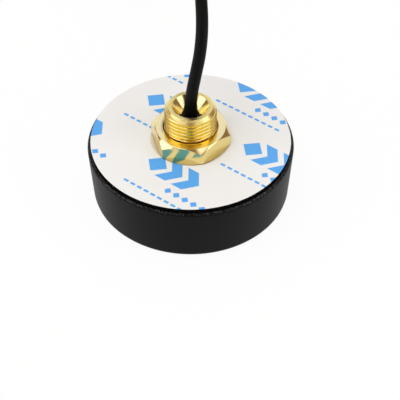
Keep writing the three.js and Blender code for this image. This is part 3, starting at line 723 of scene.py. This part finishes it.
def skin(name, rows):
    """A closed mesh through rings of points."""
    made = bmesh.new()
    table = [[made.verts.new(point) for point in row] for row in rows]
    table.append(table[0])
    for lower, upper in zip(table, table[1:]):
        for i in range(len(lower) - 1):
            made.faces.new((lower[i], lower[i + 1], upper[i + 1], upper[i]))
    bmesh.ops.remove_doubles(made, verts=made.verts, dist=merge_distance)
    bmesh.ops.dissolve_degenerate(made, edges=made.edges, dist=merge_distance)
    loose = [edge for edge in made.edges if not edge.link_faces]
    bmesh.ops.delete(made, geom=loose, context="EDGES")
    bmesh.ops.recalc_face_normals(made, faces=made.faces)
    open_edges = sum(1 for edge in made.edges if len(edge.link_faces) != 2)
    if open_edges:
        print(name, "has", open_edges, "open edges")
    mesh = bpy.data.meshes.new(name)
    made.to_mesh(mesh)
    made.free()
    return mesh


print("points closer than", merge_distance, "m are merged")

# %% [markdown]
# One helper puts a mesh in the scene as a piece of the object. Edges sharper than 38 degrees stay
# sharp and the rest is shaded smooth, as on a turned or moulded part.
# %% Show a piece
sharp_angle = math.radians(38)


def show(name, mesh, body, slot, *replaced):
    """Puts a mesh in the scene as a piece: smooth but for sharp edges, finished and riding."""
    mesh.shade_smooth()
    mesh.set_sharp_from_angle(angle=sharp_angle)
    mesh.materials.clear()
    mesh.materials.append(finishes[slot])
    piece = placed(name, mesh)
    normals = piece.modifiers.new("normals", "WEIGHTED_NORMAL")
    normals.keep_sharp = True
    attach(piece, body)
    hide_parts(*replaced)
    print(name, len(mesh.polygons), "faces")
    return piece


print("edges over", round(math.degrees(sharp_angle)), "degrees stay sharp")

# %% [markdown]
# A moulded or turned edge is never a perfect corner, and its small rounding is what catches the
# light. This helper takes the corners of an outline with a rounding for each, and puts an arc that
# touches both sides in place of the corner.
# %% Rounded outlines


def rounded(corners, steps=4):
    """Points of an outline given as (radius, height, rounding) corners."""
    points = []
    for i, (radius, height, rounding) in enumerate(corners):
        here = Vector((radius, height))
        if not rounding:
            points.append(tuple(here))
            continue
        back = (Vector(corners[i - 1][:2]) - here).normalized()
        ahead = (Vector(corners[(i + 1) % len(corners)][:2]) - here).normalized()
        half_angle = back.angle(ahead) / 2
        centre = here + (back + ahead).normalized() * (rounding / math.sin(half_angle))
        spokes = [here + way * (rounding / math.tan(half_angle)) - centre for way in (back, ahead)]
        for step in range(steps + 1):
            spoke = spokes[0].slerp(spokes[1], step / steps).normalized()
            points.append(tuple(centre + spoke * rounding))
    return points


def lathe(name, corners, sides=ring_sides):
    """The solid that an outline of (radius, height, rounding) corners makes when it is turned."""
    turns = even_turns(sides)
    return skin(name, [around(radius, height, turns) for radius, height in rounded(corners)])


square = [(1, 0, 0.1), (2, 0, 0.1), (2, 1, 0.1), (1, 1, 0.1)]
print("a rounded square has", len(rounded(square)), "points")

# %% [markdown]
# Holes are cut with Blender's Boolean modifier, whose result is kept as the mesh. It is used for
# the screw holes and the recess of the stud, which a turned outline can't hold.
# %% Cutting and joining


def combined(name, mesh, tools, operation):
    """The mesh after each tool mesh is cut from it or joined to it."""
    body = placed(name, mesh)
    helpers = []
    for i, tool in enumerate(tools):
        helper = placed(f"{name}_tool_{i}", tool)
        modifier = body.modifiers.new(f"tool_{i}", "BOOLEAN")
        modifier.operation = operation
        modifier.solver = "MANIFOLD"
        modifier.object = helper
        helpers.append(helper)
    bpy.context.view_layer.update()
    seen_body = body.evaluated_get(bpy.context.evaluated_depsgraph_get())
    result = bpy.data.meshes.new_from_object(seen_body)
    for extra in [body, *helpers]:
        bpy.data.objects.remove(extra)
    return result


def moved(mesh, x, y):
    """A copy of the mesh at this place."""
    copy = mesh.copy()
    copy.transform(Matrix.Translation((x, y, 0)))
    return copy


print("boolean tools ready")

# %% [markdown]
# Three screws hold the housing together. Their ring and the levels of the housing come from the
# frame's boxes, so that the new pieces fit the CAD parts inside.
# %% Housing sizes
radome_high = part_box("radome")[1]
plate_low, plate_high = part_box("base_plate")
puck_radius = radome_high.x
seam = radome_high.z
plate_under = plate_low.z
plate_top = plate_high.z
board_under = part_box("antenna_board")[0].z
wall = 0.0024
cup_radius = puck_radius - wall
rim_rounding = 0.00012
seal_fit = 0.00005
cut_overrun = wall
screw_inset = 0.0049
screw_ring = puck_radius - screw_inset
screw_turns = [math.radians(90 + 120 * i) for i in range(3)]
screw_places = [polar(screw_ring, turn, 0)[:2] for turn in screw_turns]
print("puck", round(2 * puck_radius, 4), "m across, seam at", round(seam, 4), "m")

# %% [markdown]
# The radome is a cup whose wall leans in a little towards its flat face, so that it leaves its
# mould. It has a rounded edge round that face, a groove for the seal in its rim and three posts for
# the screws.
# %% Radome
draft = 0.00085
face_rounding = 0.0015
window = 0.0016
window_rounding = 0.0004
board_ledge = 0.0026
seal_width = 0.0006
seal_inner = puck_radius - wall / 2 - seal_width / 2 - seal_fit
seal_outer = puck_radius - wall / 2 + seal_width / 2 + seal_fit
post_radius = 0.0021
pilot_radius = 0.00085
pilot_depth = 0.00605


def rod(radius, low, high):
    """A plain round rod from one level to another."""
    corners = [(0, low, 0), (radius, low, 0), (radius, high, 0), (0, high, 0)]
    return lathe("rod", corners, small_sides)


def radome_mesh():
    cup = lathe("radome_cup", [
        (0, 0, 0),
        (puck_radius - draft, 0, face_rounding),
        (puck_radius, seam, rim_rounding),
        (seal_outer, seam, 0),
        (seal_outer, seam - seal_width, 0),
        (seal_inner, seam - seal_width, 0),
        (seal_inner, seam, 0),
        (cup_radius, seam, 0),
        (cup_radius, board_under, 0),
        (cup_radius - board_ledge, board_under, 0),
        (cup_radius - board_ledge, window, window_rounding),
        (0, window, 0),
    ])
    post = rod(post_radius, window / 2, plate_under)
    pilot = rod(pilot_radius, plate_top - pilot_depth, plate_top)
    posts = [moved(post, x, y) for x, y in screw_places]
    pilots = [moved(pilot, x, y) for x, y in screw_places]
    return combined("drilled", combined("cup", cup, posts, "UNION"), pilots, "DIFFERENCE")


show("radome_shell", radome_mesh(), "antenna", "radome", "radome")

# %% [markdown]
# The stud's flange, the recess that keeps it from turning and both nuts are hexagons. A hexagon is
# a ring whose radius changes with the angle, so it can have as many points as the round rings that
# it is joined to.
# %% Hexagons


def hex_radius(flats, turn):
    """How far a hexagon reaches at this angle from one of its corners."""
    from_flat = turn % (math.pi / 3) - math.pi / 6
    return flats / 2 / math.cos(from_flat)


def hex_ring(flats, height, turns):
    """A ring along a hexagon with a corner on the side of +X."""
    return [polar(hex_radius(flats, turn), turn, height) for turn in turns]


def hex_bar(flats, low, high):
    """A plain hexagonal bar from one level to another."""
    turns = even_turns(6)
    return skin("bar", [
        around(0, low, turns), hex_ring(flats, low, turns),
        hex_ring(flats, high, turns), around(0, high, turns),
    ])


print("a hexagon of 15 mm reaches", round(hex_radius(15, 0), 2), "mm")

# %% [markdown]
# The base plate drops into the cup with a spigot and shows only as a rounded black rim, a little
# above the seam. Its underside holds the hexagon of the stud's flange.
# %% Base plate
plate_fit = 0.0001
plate_rounding = 0.0005
spigot_rounding = 0.0002
stud_hole = 0.0061
stud_hole_edge = 0.0001
flange_height = 0.0015
flange_recess = 0.0152
flange_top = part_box("threaded_stud")[0].z + flange_height
screw_shank = 0.00085
screw_head = 0.00155
screw_head_height = 0.00085


def plate_mesh():
    plate = lathe("plate", [
        (stud_hole, plate_under, 0),
        (cup_radius - plate_fit, plate_under, spigot_rounding),
        (cup_radius - plate_fit, seam, 0),
        (puck_radius, seam, rim_rounding),
        (puck_radius, plate_top, plate_rounding),
        (stud_hole, plate_top, stud_hole_edge),
    ])
    recess = hex_bar(flange_recess, plate_under - cut_overrun, flange_top)
    hole = lathe("screw_hole", [
        (0, plate_under - cut_overrun, 0),
        (screw_shank, plate_under - cut_overrun, 0),
        (screw_shank, plate_top - screw_head_height, 0),
        (screw_head, plate_top - seal_fit, 0),
        (screw_head, plate_top + cut_overrun, 0),
        (0, plate_top + cut_overrun, 0),
    ], small_sides)
    holes = [moved(hole, x, y) for x, y in screw_places]
    return combined("plate", plate, [recess, *holes], "DIFFERENCE")


show("base_plate_rim", plate_mesh(), "antenna", "base", "base_plate")

# %% [markdown]
# Pad and liner are flat rings of the same size. The corners of the turning nut have pressed the
# soft foam down round the nut, and the liner with it, so the inner edge of both slopes down. The
# liner is a thin film, whose cut edge shows as a fine bright line.
# %% Pad and liner
pad_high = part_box("adhesive_pad")[1]
pad_radius = pad_high.x
pad_top = pad_high.z
liner_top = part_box("release_liner")[1].z
nut_flats = 0.0164
pad_fit = 0.00002
pad_hole = nut_flats / 2 + pad_fit
dent_depth = 0.00087
dent_width = 0.00113
dent_rounding = 0.0004
foam_rounding = 0.0002
film_rounding = 0.00005


def pressed_edge(level):
    """The sloping inner edge, from the flat part inwards."""
    return [(pad_hole + dent_width, level, dent_rounding), (pad_hole, level - dent_depth, 0)]


pad_mesh = lathe("pad", [
    (pad_hole, plate_top, 0),
    (pad_radius, plate_top, foam_rounding),
    (pad_radius, pad_top, foam_rounding),
    *pressed_edge(pad_top),
])
liner_mesh = lathe("liner", [
    *reversed(pressed_edge(pad_top)),
    (pad_radius, pad_top, film_rounding),
    (pad_radius, liner_top, film_rounding),
    *pressed_edge(liner_top),
])
show("foam_pad", pad_mesh, "antenna", "pad", "adhesive_pad")
show("liner_sheet", liner_mesh, "antenna", "liner", "release_liner")

# %% [markdown]
# A thread is a ridge that climbs by one pitch a turn. In a skin it is made by letting the rings
# climb: every column of points repeats one outline of the ridge, lifted by its share of a turn.
# Where the climbing rings pass the thread's end they are held at its level, with the ridge's own
# radius there, so that the points of a column coincide and merge, and the ridge ends as if cut.
# %% Thread rings
thread_pitch = 0.001
thread_low = 0.0149
spare_laps = 2
ridge_outline = [
    (0.0, 0.0), (0.07, 0.02), (0.14, 0.1), (0.22, 0.3), (0.3, 0.56), (0.37, 0.78), (0.43, 0.93),
    (0.48, 1.0), (0.52, 1.0), (0.57, 0.93), (0.63, 0.78), (0.7, 0.56), (0.78, 0.3), (0.86, 0.1),
    (0.93, 0.02), (1.0, 0.0),
]


def ridge(turns):
    """How far the ridge stands out, from 0 to 1. Its crest is at whole turns."""
    share = (turns + 0.5) % 1
    for (low, low_out), (high, high_out) in zip(ridge_outline, ridge_outline[1:]):
        if share <= high:
            return low_out + (high_out - low_out) * (share - low) / (high - low)
    return 0


def thread_rings(low, high, crest_start, root, crest, turns, limit=None, pitch=thread_pitch):
    """Climbing rings from low to high. A crest starts at crest_start on the side of +X."""
    rings = []
    first = math.floor((low - crest_start) / pitch) - spare_laps
    last = math.ceil((high - crest_start) / pitch) + spare_laps
    for lap in range(first, last):
        for along, _ in ridge_outline[:-1]:
            ring = []
            for turn in turns:
                climbed = turn / (2 * math.pi)
                height = crest_start + (lap + along - 0.5 + climbed) * pitch
                height = min(max(height, low), high)
                radius = root + (crest - root) * ridge((height - crest_start) / pitch - climbed)
                ring.append(polar(limit(radius, height) if limit else radius, turn, height))
            rings.append(ring)
    return rings


print("points over one pitch", len(ridge_outline) - 1, "ridge at its crest", ridge(0))

# %% [markdown]
# The stud is turned from one bar: a hexagonal flange that the plate keeps from turning, the thread,
# a chamfered end with a narrow flat ring, and a conical mouth that guides the lead over a rounded
# lip into the bore. The edges of the end are a little worn, so each has a small rounding.
# %% Stud
stud_sides = 96
stud_low, stud_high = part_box("threaded_stud")
stud_top = stud_high.z
stud_crest = 0.006
stud_root = 0.0053
stud_chamfer = 0.0009
stud_flats = 0.015
mouth_radius = 0.0042
mouth_depth = 0.0025
hole_radius = 0.002
bore_radius = 0.0026
bush_top = 0.0224
worn_edge = 0.0001
lip_rounding = 0.00022


def stud_limit(radius, height):
    """The end's chamfer cuts into the last ridges."""
    return min(radius, stud_crest - max(0, height - (stud_top - stud_chamfer)))


def stud_mesh():
    turns = even_turns(stud_sides)
    _, *end = rounded([
        (stud_crest, stud_top - stud_chamfer, 0),
        (stud_crest - stud_chamfer, stud_top, worn_edge),
        (mouth_radius, stud_top, worn_edge),
        (hole_radius, stud_top - mouth_depth, lip_rounding),
        (hole_radius, bush_top, 0),
        (bore_radius, bush_top, 0),
    ])
    ridges_top = end[0][1]
    return skin("stud", [
        around(bore_radius, stud_low.z, turns),
        hex_ring(stud_flats, stud_low.z, turns),
        hex_ring(stud_flats, flange_top, turns),
        around(stud_crest, flange_top, turns),
        around(stud_crest, thread_low, turns),
        *thread_rings(thread_low, ridges_top, thread_low, stud_root, stud_crest, turns, stud_limit),
        *[around(radius, height, turns) for radius, height in end],
    ])


show("brass_stud", stud_mesh(), "antenna", "brass", "threaded_stud")

# %% [markdown]
# The nut is a hexagon whose corners the lathe has chamfered above and below, which leaves an arc
# at both ends of each flat. Here every column of points has its own outline: the hexagon gives its
# radius at that angle, and the chamfer's cone gives the height where the flat ends. Two columns
# close to each corner make its fine bevel.
# %% Columns of a hexagon
corner_bevel = math.radians(0.5)
column_step = math.radians(2)


def hex_turns(corner):
    """Angles of a hexagon's columns, with two close to each corner. The first corner is given."""
    turns = []
    steps = round(math.pi / 3 / column_step)
    for flat in range(6):
        start = corner + flat * math.pi / 3
        turns += [start + corner_bevel]
        turns += [start + column_step * step for step in range(1, steps)]
        turns += [start + math.pi / 3 - corner_bevel]
    return [*turns, turns[0] + 2 * math.pi]


def hex_rows(flats, corner, turns, column):
    """Rings through the columns, of which each is an outline for the hexagon's radius there."""
    columns = [
        [polar(radius, turn, height) for radius, height in column(hex_radius(flats, turn - corner))]
        for turn in turns
    ]
    return [list(row) for row in zip(*columns)]


print("columns of a hexagon", len(hex_turns(0)) - 1)

# %% [markdown]
# The nut's outline runs from its foot over the two chamfers to its bore. The nut's thread is the
# stud's, half a pitch up, so that ridge lies in groove, and its foot has a recess for the washer.
# %% Nut
nut_low, nut_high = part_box("hex_nut")
nut_under = nut_low.z
nut_top = nut_high.z
nut_face_inset = 0.00012
nut_face = nut_flats / 2 - nut_face_inset
nut_turn = math.radians(-13.7)
nut_slope = math.tan(math.radians(43))
nut_edge = 0.00009
nut_bore_chamfer = 0.0004
nut_clearance = 0.00012
recess_radius = 0.00775
recess_depth = 0.0005


def nut_column(radius):
    """The nut's outer outline where the hexagon has this radius, from its foot to its bore."""
    over = (radius - nut_face) * nut_slope
    return rounded([
        (nut_face, nut_under, 0),
        (radius, nut_under + over, nut_edge),
        (radius, nut_top - over, nut_edge),
        (nut_face, nut_top, nut_edge),
        (stud_crest + nut_bore_chamfer, nut_top, nut_edge),
        (stud_crest + nut_clearance, nut_top - nut_bore_chamfer, 0),
    ], steps=3)


def nut_mesh():
    turns = hex_turns(nut_turn)
    recess_top = nut_under + recess_depth
    thread = thread_rings(
        recess_top, nut_top - nut_bore_chamfer, thread_low + thread_pitch / 2,
        stud_crest + nut_clearance, stud_root + nut_clearance, turns,
    )
    return skin("nut", [
        *hex_rows(nut_flats, nut_turn, turns, nut_column),
        *reversed(thread),
        around(recess_radius, recess_top, turns),
        around(recess_radius, nut_under, turns),
    ])


show("brass_nut", nut_mesh(), "nut", "brass", "hex_nut")

# %% [markdown]
# The washer in the nut's foot is stamped steel and the bush round the lead is moulded rubber. Both
# are plain rings, so a short outline with slightly rounded edges is enough for each.
# %% Washer and bush
washer_low, washer_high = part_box("captive_washer")
bush_low, bush_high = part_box("cable_bush")
washer_hole, washer_edge = 0.0062, 0.00005
bush_hole, bush_edge = 0.00145, 0.0001

washer_mesh = lathe("washer", [
    (washer_hole, washer_low.z, washer_edge),
    (washer_high.x, washer_low.z, washer_edge),
    (washer_high.x, washer_high.z, washer_edge),
    (washer_hole, washer_high.z, washer_edge),
], small_sides)
bush_mesh = lathe("bush", [
    (bush_hole, bush_low.z, 0),
    (bush_high.x, bush_low.z, 0),
    (bush_high.x, bush_high.z, bush_edge),
    (bush_hole, bush_high.z, bush_edge),
], small_sides)
show("nut_washer", washer_mesh, "washer", "steel", "captive_washer")
show("lead_bush", bush_mesh, "antenna", "rubber", "cable_bush")

# %% [markdown]
# The lead is one cord of two metres. It rises out of the stud, bends over behind the puck, and the
# length that a user doesn't need yet lies in a coil of four layers, held by two ties, with the plug
# beside it. The route repeats the points of the CAD part: places on the centreline for the free
# stretch, and a spiral formula for the coil.
# %% Lead: the free stretch
lead_diameter = 0.0028
lead_length = 2.0
lead_radius = lead_diameter / 2
lead_exit = (0, 0, bush_top)
free_steps = 8
free_route = [
    (0, 0, 0.0227),
    (0.00005, 0.00005, 0.0262),
    (0.00052, 0.00035, 0.0301),
    (0.0013, 0.00095, 0.0343),
    (0.00205, 0.0021, 0.038),
    (0.0025, 0.004, 0.041),
    (0.00268, 0.0065, 0.0434),
    (0.0026, 0.0103, 0.0455),
    (0.0023, 0.015, 0.0471),
    (0.0013, 0.021, 0.048),
    (-0.0008, 0.0275, 0.0473),
    (-0.0036, 0.0345, 0.045),
    (-0.007, 0.042, 0.041),
    (-0.0106, 0.0495, 0.0356),
    (-0.014, 0.0565, 0.0297),
    (-0.017, 0.0635, 0.0239),
    (-0.0195, 0.0705, 0.019),
    (-0.0214, 0.078, 0.0154),
    (-0.0227, 0.086, 0.0132),
    (-0.0234, 0.0935, 0.0122),
]


def smooth_route(places, steps):
    """A centripetal Catmull-Rom curve through the places, with this many steps between two."""
    knots = [Vector(place) for place in places]
    knots = [2 * knots[0] - knots[1], *knots, 2 * knots[-1] - knots[-2]]
    route = []
    for a, b, c, d in zip(knots, knots[1:], knots[2:], knots[3:]):
        spans = [math.sqrt((q - p).length) for p, q in ((a, b), (b, c), (c, d))]
        start = ((b - a) / spans[0] - (c - a) / (spans[0] + spans[1]) + (c - b) / spans[1]) * spans[1]
        end = ((c - b) / spans[1] - (d - b) / (spans[1] + spans[2]) + (d - c) / spans[2]) * spans[1]
        for step in range(steps):
            s = step / steps
            route.append(
                b * (2 * s**3 - 3 * s**2 + 1) + start * (s**3 - 2 * s**2 + s)
                + c * (3 * s**2 - 2 * s**3) + end * (s**3 - s**2)
            )
    route.append(knots[-2])
    return route


def route_length(route):
    """The length of a route of short straight steps."""
    return sum((b - a).length for a, b in zip(route, route[1:]))


free_points = smooth_route(free_route, free_steps)
free_length = route_length(free_points)
print("free stretch", round(free_length, 4))

# %% [markdown]
# The coil's loops spiral in and out again, layer by layer, from the top down, and sink by a layer
# in the half loop round each change. Its radius follows from the length that is left over when the
# free stretch and the tail that leads to the plug are taken off.
# %% Lead: sizes of the coil
coil_place = 0.1035
coil_loops = 17
coil_layers = 4
coil_pitch = 0.00326
coil_climb_loops = 0.25
coil_steps = 60
tie_thickness = 0.0005
tie_gap = 0.0003
tie_width = 0.004
tail_run = 0.0155
tail_bend = 0.016
loops_per_layer = coil_loops / coil_layers
coil_height = tie_thickness + tie_gap + lead_radius
coil_top = coil_height + (coil_layers - 1) * coil_pitch
coil_spread = loops_per_layer * coil_pitch
tail_turn = math.pi / 2 * tail_bend
coiled_length = lead_length - free_length - tail_run - tail_turn - lead_diameter
coil_middle = coiled_length / (2 * math.pi * coil_loops)
coil_outer = coil_middle + coil_spread / 2
print("coil", round(2 * coil_middle, 4), "m across, tightest", round(coil_outer - coil_spread, 4))

# %% [markdown]
# One function says where the lead is after a number of loops. The coil and, further down, the
# straps that hold it both ask it.
# %% Lead: coil


def coil_point(loops):
    layer = min(int(loops / loops_per_layer), coil_layers - 1)
    along = loops / loops_per_layer - layer
    inward = along if layer % 2 == 0 else 1 - along
    radius = coil_outer - coil_spread * inward
    sunk = 0
    for change in range(1, coil_layers):
        past = (loops - change * loops_per_layer + coil_climb_loops) / (2 * coil_climb_loops)
        past = min(max(past, 0), 1)
        sunk += past * past * (3 - 2 * past)
    turn = math.pi - loops * 2 * math.pi
    x, y, height = polar(radius, turn, coil_top - sunk * coil_pitch)
    return Vector((x, coil_place + y, height))


wound = [coil_point(i / coil_steps) for i in range(coil_loops * coil_steps + 1)]
print("coiled lead", round(route_length(wound), 4), "m")

# %% [markdown]
# The tail leaves the coil straight on, then bends a quarter turn into the line of the plug. The
# whole route is the exit from the bush, the free stretch, the coil and this tail.
# %% Lead: tail and whole route
plug_height = 0.004
plug_line = coil_place + tail_run + tail_bend
tail_end = tail_bend - coil_outer
tail_shares = (0.4, 0.8)
tail_bend_steps, tail_steps = 10, 3


def tail_points():
    places = [
        Vector((-coil_outer, coil_place + tail_run * share, coil_height)) for share in tail_shares
    ]
    for step in range(tail_bend_steps + 1):
        bent = step / tail_bend_steps
        height = coil_height + (plug_height - coil_height) * bent
        x, y, height = polar(tail_bend, math.pi - math.pi / 2 * bent, height)
        places.append(Vector((tail_end + x, coil_place + tail_run + y, height)))
    return places


tail = smooth_route(tail_points(), tail_steps)
lead_route = [Vector(lead_exit), *free_points, *wound, *tail]
print("lead", round(route_length(lead_route), 4), "m")

# %% [markdown]
# A tube is a skin too: a round section carried along the route. The section's side direction is
# carried over from one point to the next, so the tube doesn't twist.
# %% Lead: the tube
lead_sides = 14


def tube_mesh(name, route, radius, sides):
    """A round tube along the route, closed at both ends."""
    rows = []
    side = Vector((1, 0, 0))
    for i, place in enumerate(route):
        along = (route[min(i + 1, len(route) - 1)] - route[max(i - 1, 0)]).normalized()
        side = (side - along * side.dot(along)).normalized()
        over = along.cross(side)
        ring = []
        for k in range(sides + 1):
            turn = 2 * math.pi * k / sides
            ring.append(place + (side * math.cos(turn) + over * math.sin(turn)) * radius)
        rows.append(ring)
    return skin(name, [[route[0]] * (sides + 1), *rows, [route[-1]] * (sides + 1)])


lead = show(
    "coax_lead", tube_mesh("lead", lead_route, lead_radius, lead_sides), "antenna", "cable",
    "coax_cable", "cable_coil", "cable_tail",
)

# %% [markdown]
# The plug is a small screw-on coaxial one, laid down along the X axis. A ribbed rubber sleeve
# eases the bend of the lead, a crimped ferrule joins it to the plug's body, and a long hexagonal
# coupling nut turns on the body's neck. These four show, so they are turned again in fine rings
# with broken edges. The small parts inside the nut keep their CAD mesh.
# %% Plug: sleeve, ferrule and body
plug_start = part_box("plug_sleeve")[0].x
sleeve_low, sleeve_full, sleeve_end = 0, 0.004, 0.011
sleeve_rear, sleeve_front, sleeve_shoulder = 0.0018, 0.0025, 0.0008
rib_first, rib_step, ribs = 0.0046, 0.0013, 5
rib_depth, rib_gap = 0.00025, 0.0005
ferrule_start, ferrule_end = 0.004, 0.0125
ferrule_hole, ferrule_radius = 0.0011, 0.0021
plug_fit = 0.00005
collar_start, neck_start, barrel_start, barrel_end = 0.01255, 0.01505, 0.01745, 0.02025
collar_radius, neck_radius, barrel_radius, barrel_hole = 0.0031, 0.0024, 0.0023, 0.00205
ring_groove, ring_start, ring_end = 0.0003, 0.01585, 0.01635
fine_edge = 0.00012


def laid_down(mesh):
    """Turns a mesh that stands on the Z axis to the plug's place along the X axis."""
    place = Matrix.Translation((plug_start, plug_line, plug_height))
    mesh.transform(place @ Matrix.Rotation(math.pi / 2, 4, "Y"))
    return mesh


rib_corners = []
for rib in range(ribs):
    gap_start = rib_first + rib * rib_step
    gap_end = gap_start + rib_gap
    rib_corners += [
        (sleeve_front, gap_start, fine_edge),
        (sleeve_front - rib_depth, gap_start, 0),
        (sleeve_front - rib_depth, gap_end, 0),
        (sleeve_front, gap_end, fine_edge),
    ]
sleeve_mesh = lathe("sleeve", [
    (0, sleeve_low, 0),
    (sleeve_rear, sleeve_low, fine_edge),
    (sleeve_front, sleeve_full, sleeve_shoulder),
    *rib_corners,
    (sleeve_front, sleeve_end, fine_edge),
    (ferrule_radius + plug_fit, sleeve_end, 0),
    (ferrule_radius + plug_fit, ferrule_start - plug_fit, 0),
    (0, ferrule_start - plug_fit, 0),
], small_sides)
ferrule_mesh = lathe("ferrule", [
    (ferrule_hole, ferrule_start, 0),
    (ferrule_radius, ferrule_start, 0),
    (ferrule_radius, ferrule_end, fine_edge),
    (ferrule_hole, ferrule_end, 0),
], small_sides)
body_mesh = lathe("plug_turned", [
    (barrel_hole, collar_start, 0),
    (collar_radius, collar_start, fine_edge),
    (collar_radius, neck_start, fine_edge),
    (neck_radius, neck_start, 0),
    (neck_radius, ring_start, 0),
    (neck_radius - ring_groove, ring_start, 0),
    (neck_radius - ring_groove, ring_end, 0),
    (neck_radius, ring_end, 0),
    (neck_radius, barrel_start, 0),
    (barrel_radius, barrel_start, 0),
    (barrel_radius, barrel_end, fine_edge / 2),
    (barrel_hole, barrel_end, fine_edge / 2),
], small_sides)
plug_pieces = [
    show("bend_sleeve", laid_down(sleeve_mesh), "antenna", "rubber", "plug_sleeve"),
    show("plug_ferrule", laid_down(ferrule_mesh), "antenna", "gold_plate", "crimp_ferrule"),
    show("plug_shell", laid_down(body_mesh), "antenna", "gold_plate", "plug_body"),
]

# %% [markdown]
# The coupling nut is made like the large nut: a chamfered hexagon outside and a thread inside, here
# with a finer pitch. Behind the thread its floor closes on the neck of the body.
# %% Plug: coupling nut
coupler_start, coupler_end = 0.01535, 0.02295
coupler_floor_depth = 0.0019
coupler_floor = coupler_start + coupler_floor_depth
coupler_flats = 0.008
coupler_corner = math.radians(30)
coupler_chamfer = 0.0004
coupler_hole, coupler_neck_hole = 0.00305, 0.0026
coupler_pitch = 0.0007
coupler_thread_depth = 0.0002


def coupler_column(radius):
    """The outline at this radius of the hexagon, from the neck's hole to the mouth."""
    face = coupler_flats / 2 - fine_edge
    over = (radius - face) * coupler_chamfer / (coupler_flats / math.sqrt(3) - face)
    mouth = coupler_hole + coupler_chamfer
    return rounded([
        (coupler_neck_hole, coupler_start, 0),
        (face, coupler_start, nut_edge / 2),
        (radius, coupler_start + over, nut_edge / 2),
        (radius, coupler_end - over, nut_edge / 2),
        (face, coupler_end, nut_edge / 2),
        (mouth, coupler_end, 0),
        (coupler_hole, coupler_end - coupler_chamfer, 0),
    ], steps=2)


def coupler_mesh():
    turns = hex_turns(coupler_corner)
    thread = thread_rings(
        coupler_floor + coupler_chamfer * 2, coupler_end - coupler_chamfer, coupler_floor,
        coupler_hole, coupler_hole + coupler_thread_depth, turns, pitch=coupler_pitch,
    )
    return skin("coupler", [
        *hex_rows(coupler_flats, coupler_corner, turns, coupler_column),
        *reversed(thread),
        around(coupler_hole, coupler_floor, turns),
        around(coupler_neck_hole, coupler_floor, turns),
    ])


coupler = show("plug_coupler", laid_down(coupler_mesh()), "coupler", "gold_plate", "coupling_nut")
plug_pieces.append(coupler)

# %% [markdown]
# Two soft straps hold the coil. Each is a flat band that is pulled tight round the bundle of turns,
# and its end overlaps on the outside. A tight band is found direction by direction: the turn that
# lies farthest in a direction carries the band there, so between two turns it runs straight.
# %% Coil ties
tie_turns = (math.radians(40), math.radians(220))
tie_steps = 72
tie_edge = 0.00012
tie_lap = (math.radians(-30), math.radians(65))


def turns_crossing(turn):
    """Where the coil's turns cross the half plane at this angle, as (radius, height)."""
    share = (math.pi - turn) / (2 * math.pi) % 1
    crossings = [coil_point(loop + share) for loop in range(coil_loops)]
    return [Vector((math.hypot(place.x, place.y - coil_place), place.z)) for place in crossings]


def tight_band(places, reach, lap=0.0):
    """A band round circles with this radius at these places, thicker by lap where it overlaps."""
    band = []
    for step in range(tie_steps + 1):
        turn = 2 * math.pi * step / tie_steps - math.pi
        way = Vector((math.cos(turn), math.sin(turn)))
        farthest = max(places, key=way.dot)
        band.append(farthest + way * (reach + (lap if tie_lap[0] < turn < tie_lap[1] else 0)))
    return band


def tie_mesh(turn):
    """A strap round the coil at this angle: four bands, from its inner to its outer face."""
    places = turns_crossing(turn)
    reach = lead_radius + tie_gap
    half_width = tie_width / 2
    bands = [
        (tight_band(places, reach), half_width - tie_edge),
        (tight_band(places, reach + tie_edge), half_width),
        (tight_band(places, reach + tie_thickness - tie_edge, tie_thickness), half_width),
        (tight_band(places, reach + tie_thickness, tie_thickness), half_width - tie_edge),
    ]
    edges = [*bands, *[(band, -width) for band, width in reversed(bands)]]
    mesh = skin("tie", [[(point.x, width, point.y) for point in band] for band, width in edges])
    mesh.transform(Matrix.Translation((0, coil_place, 0)) @ Matrix.Rotation(turn, 4, "Z"))
    return mesh


ties = [
    show(f"coil_strap_{i + 1}", tie_mesh(turn), "antenna", "tie", f"coil_tie_{i + 1}")
    for i, turn in enumerate(tie_turns)
]
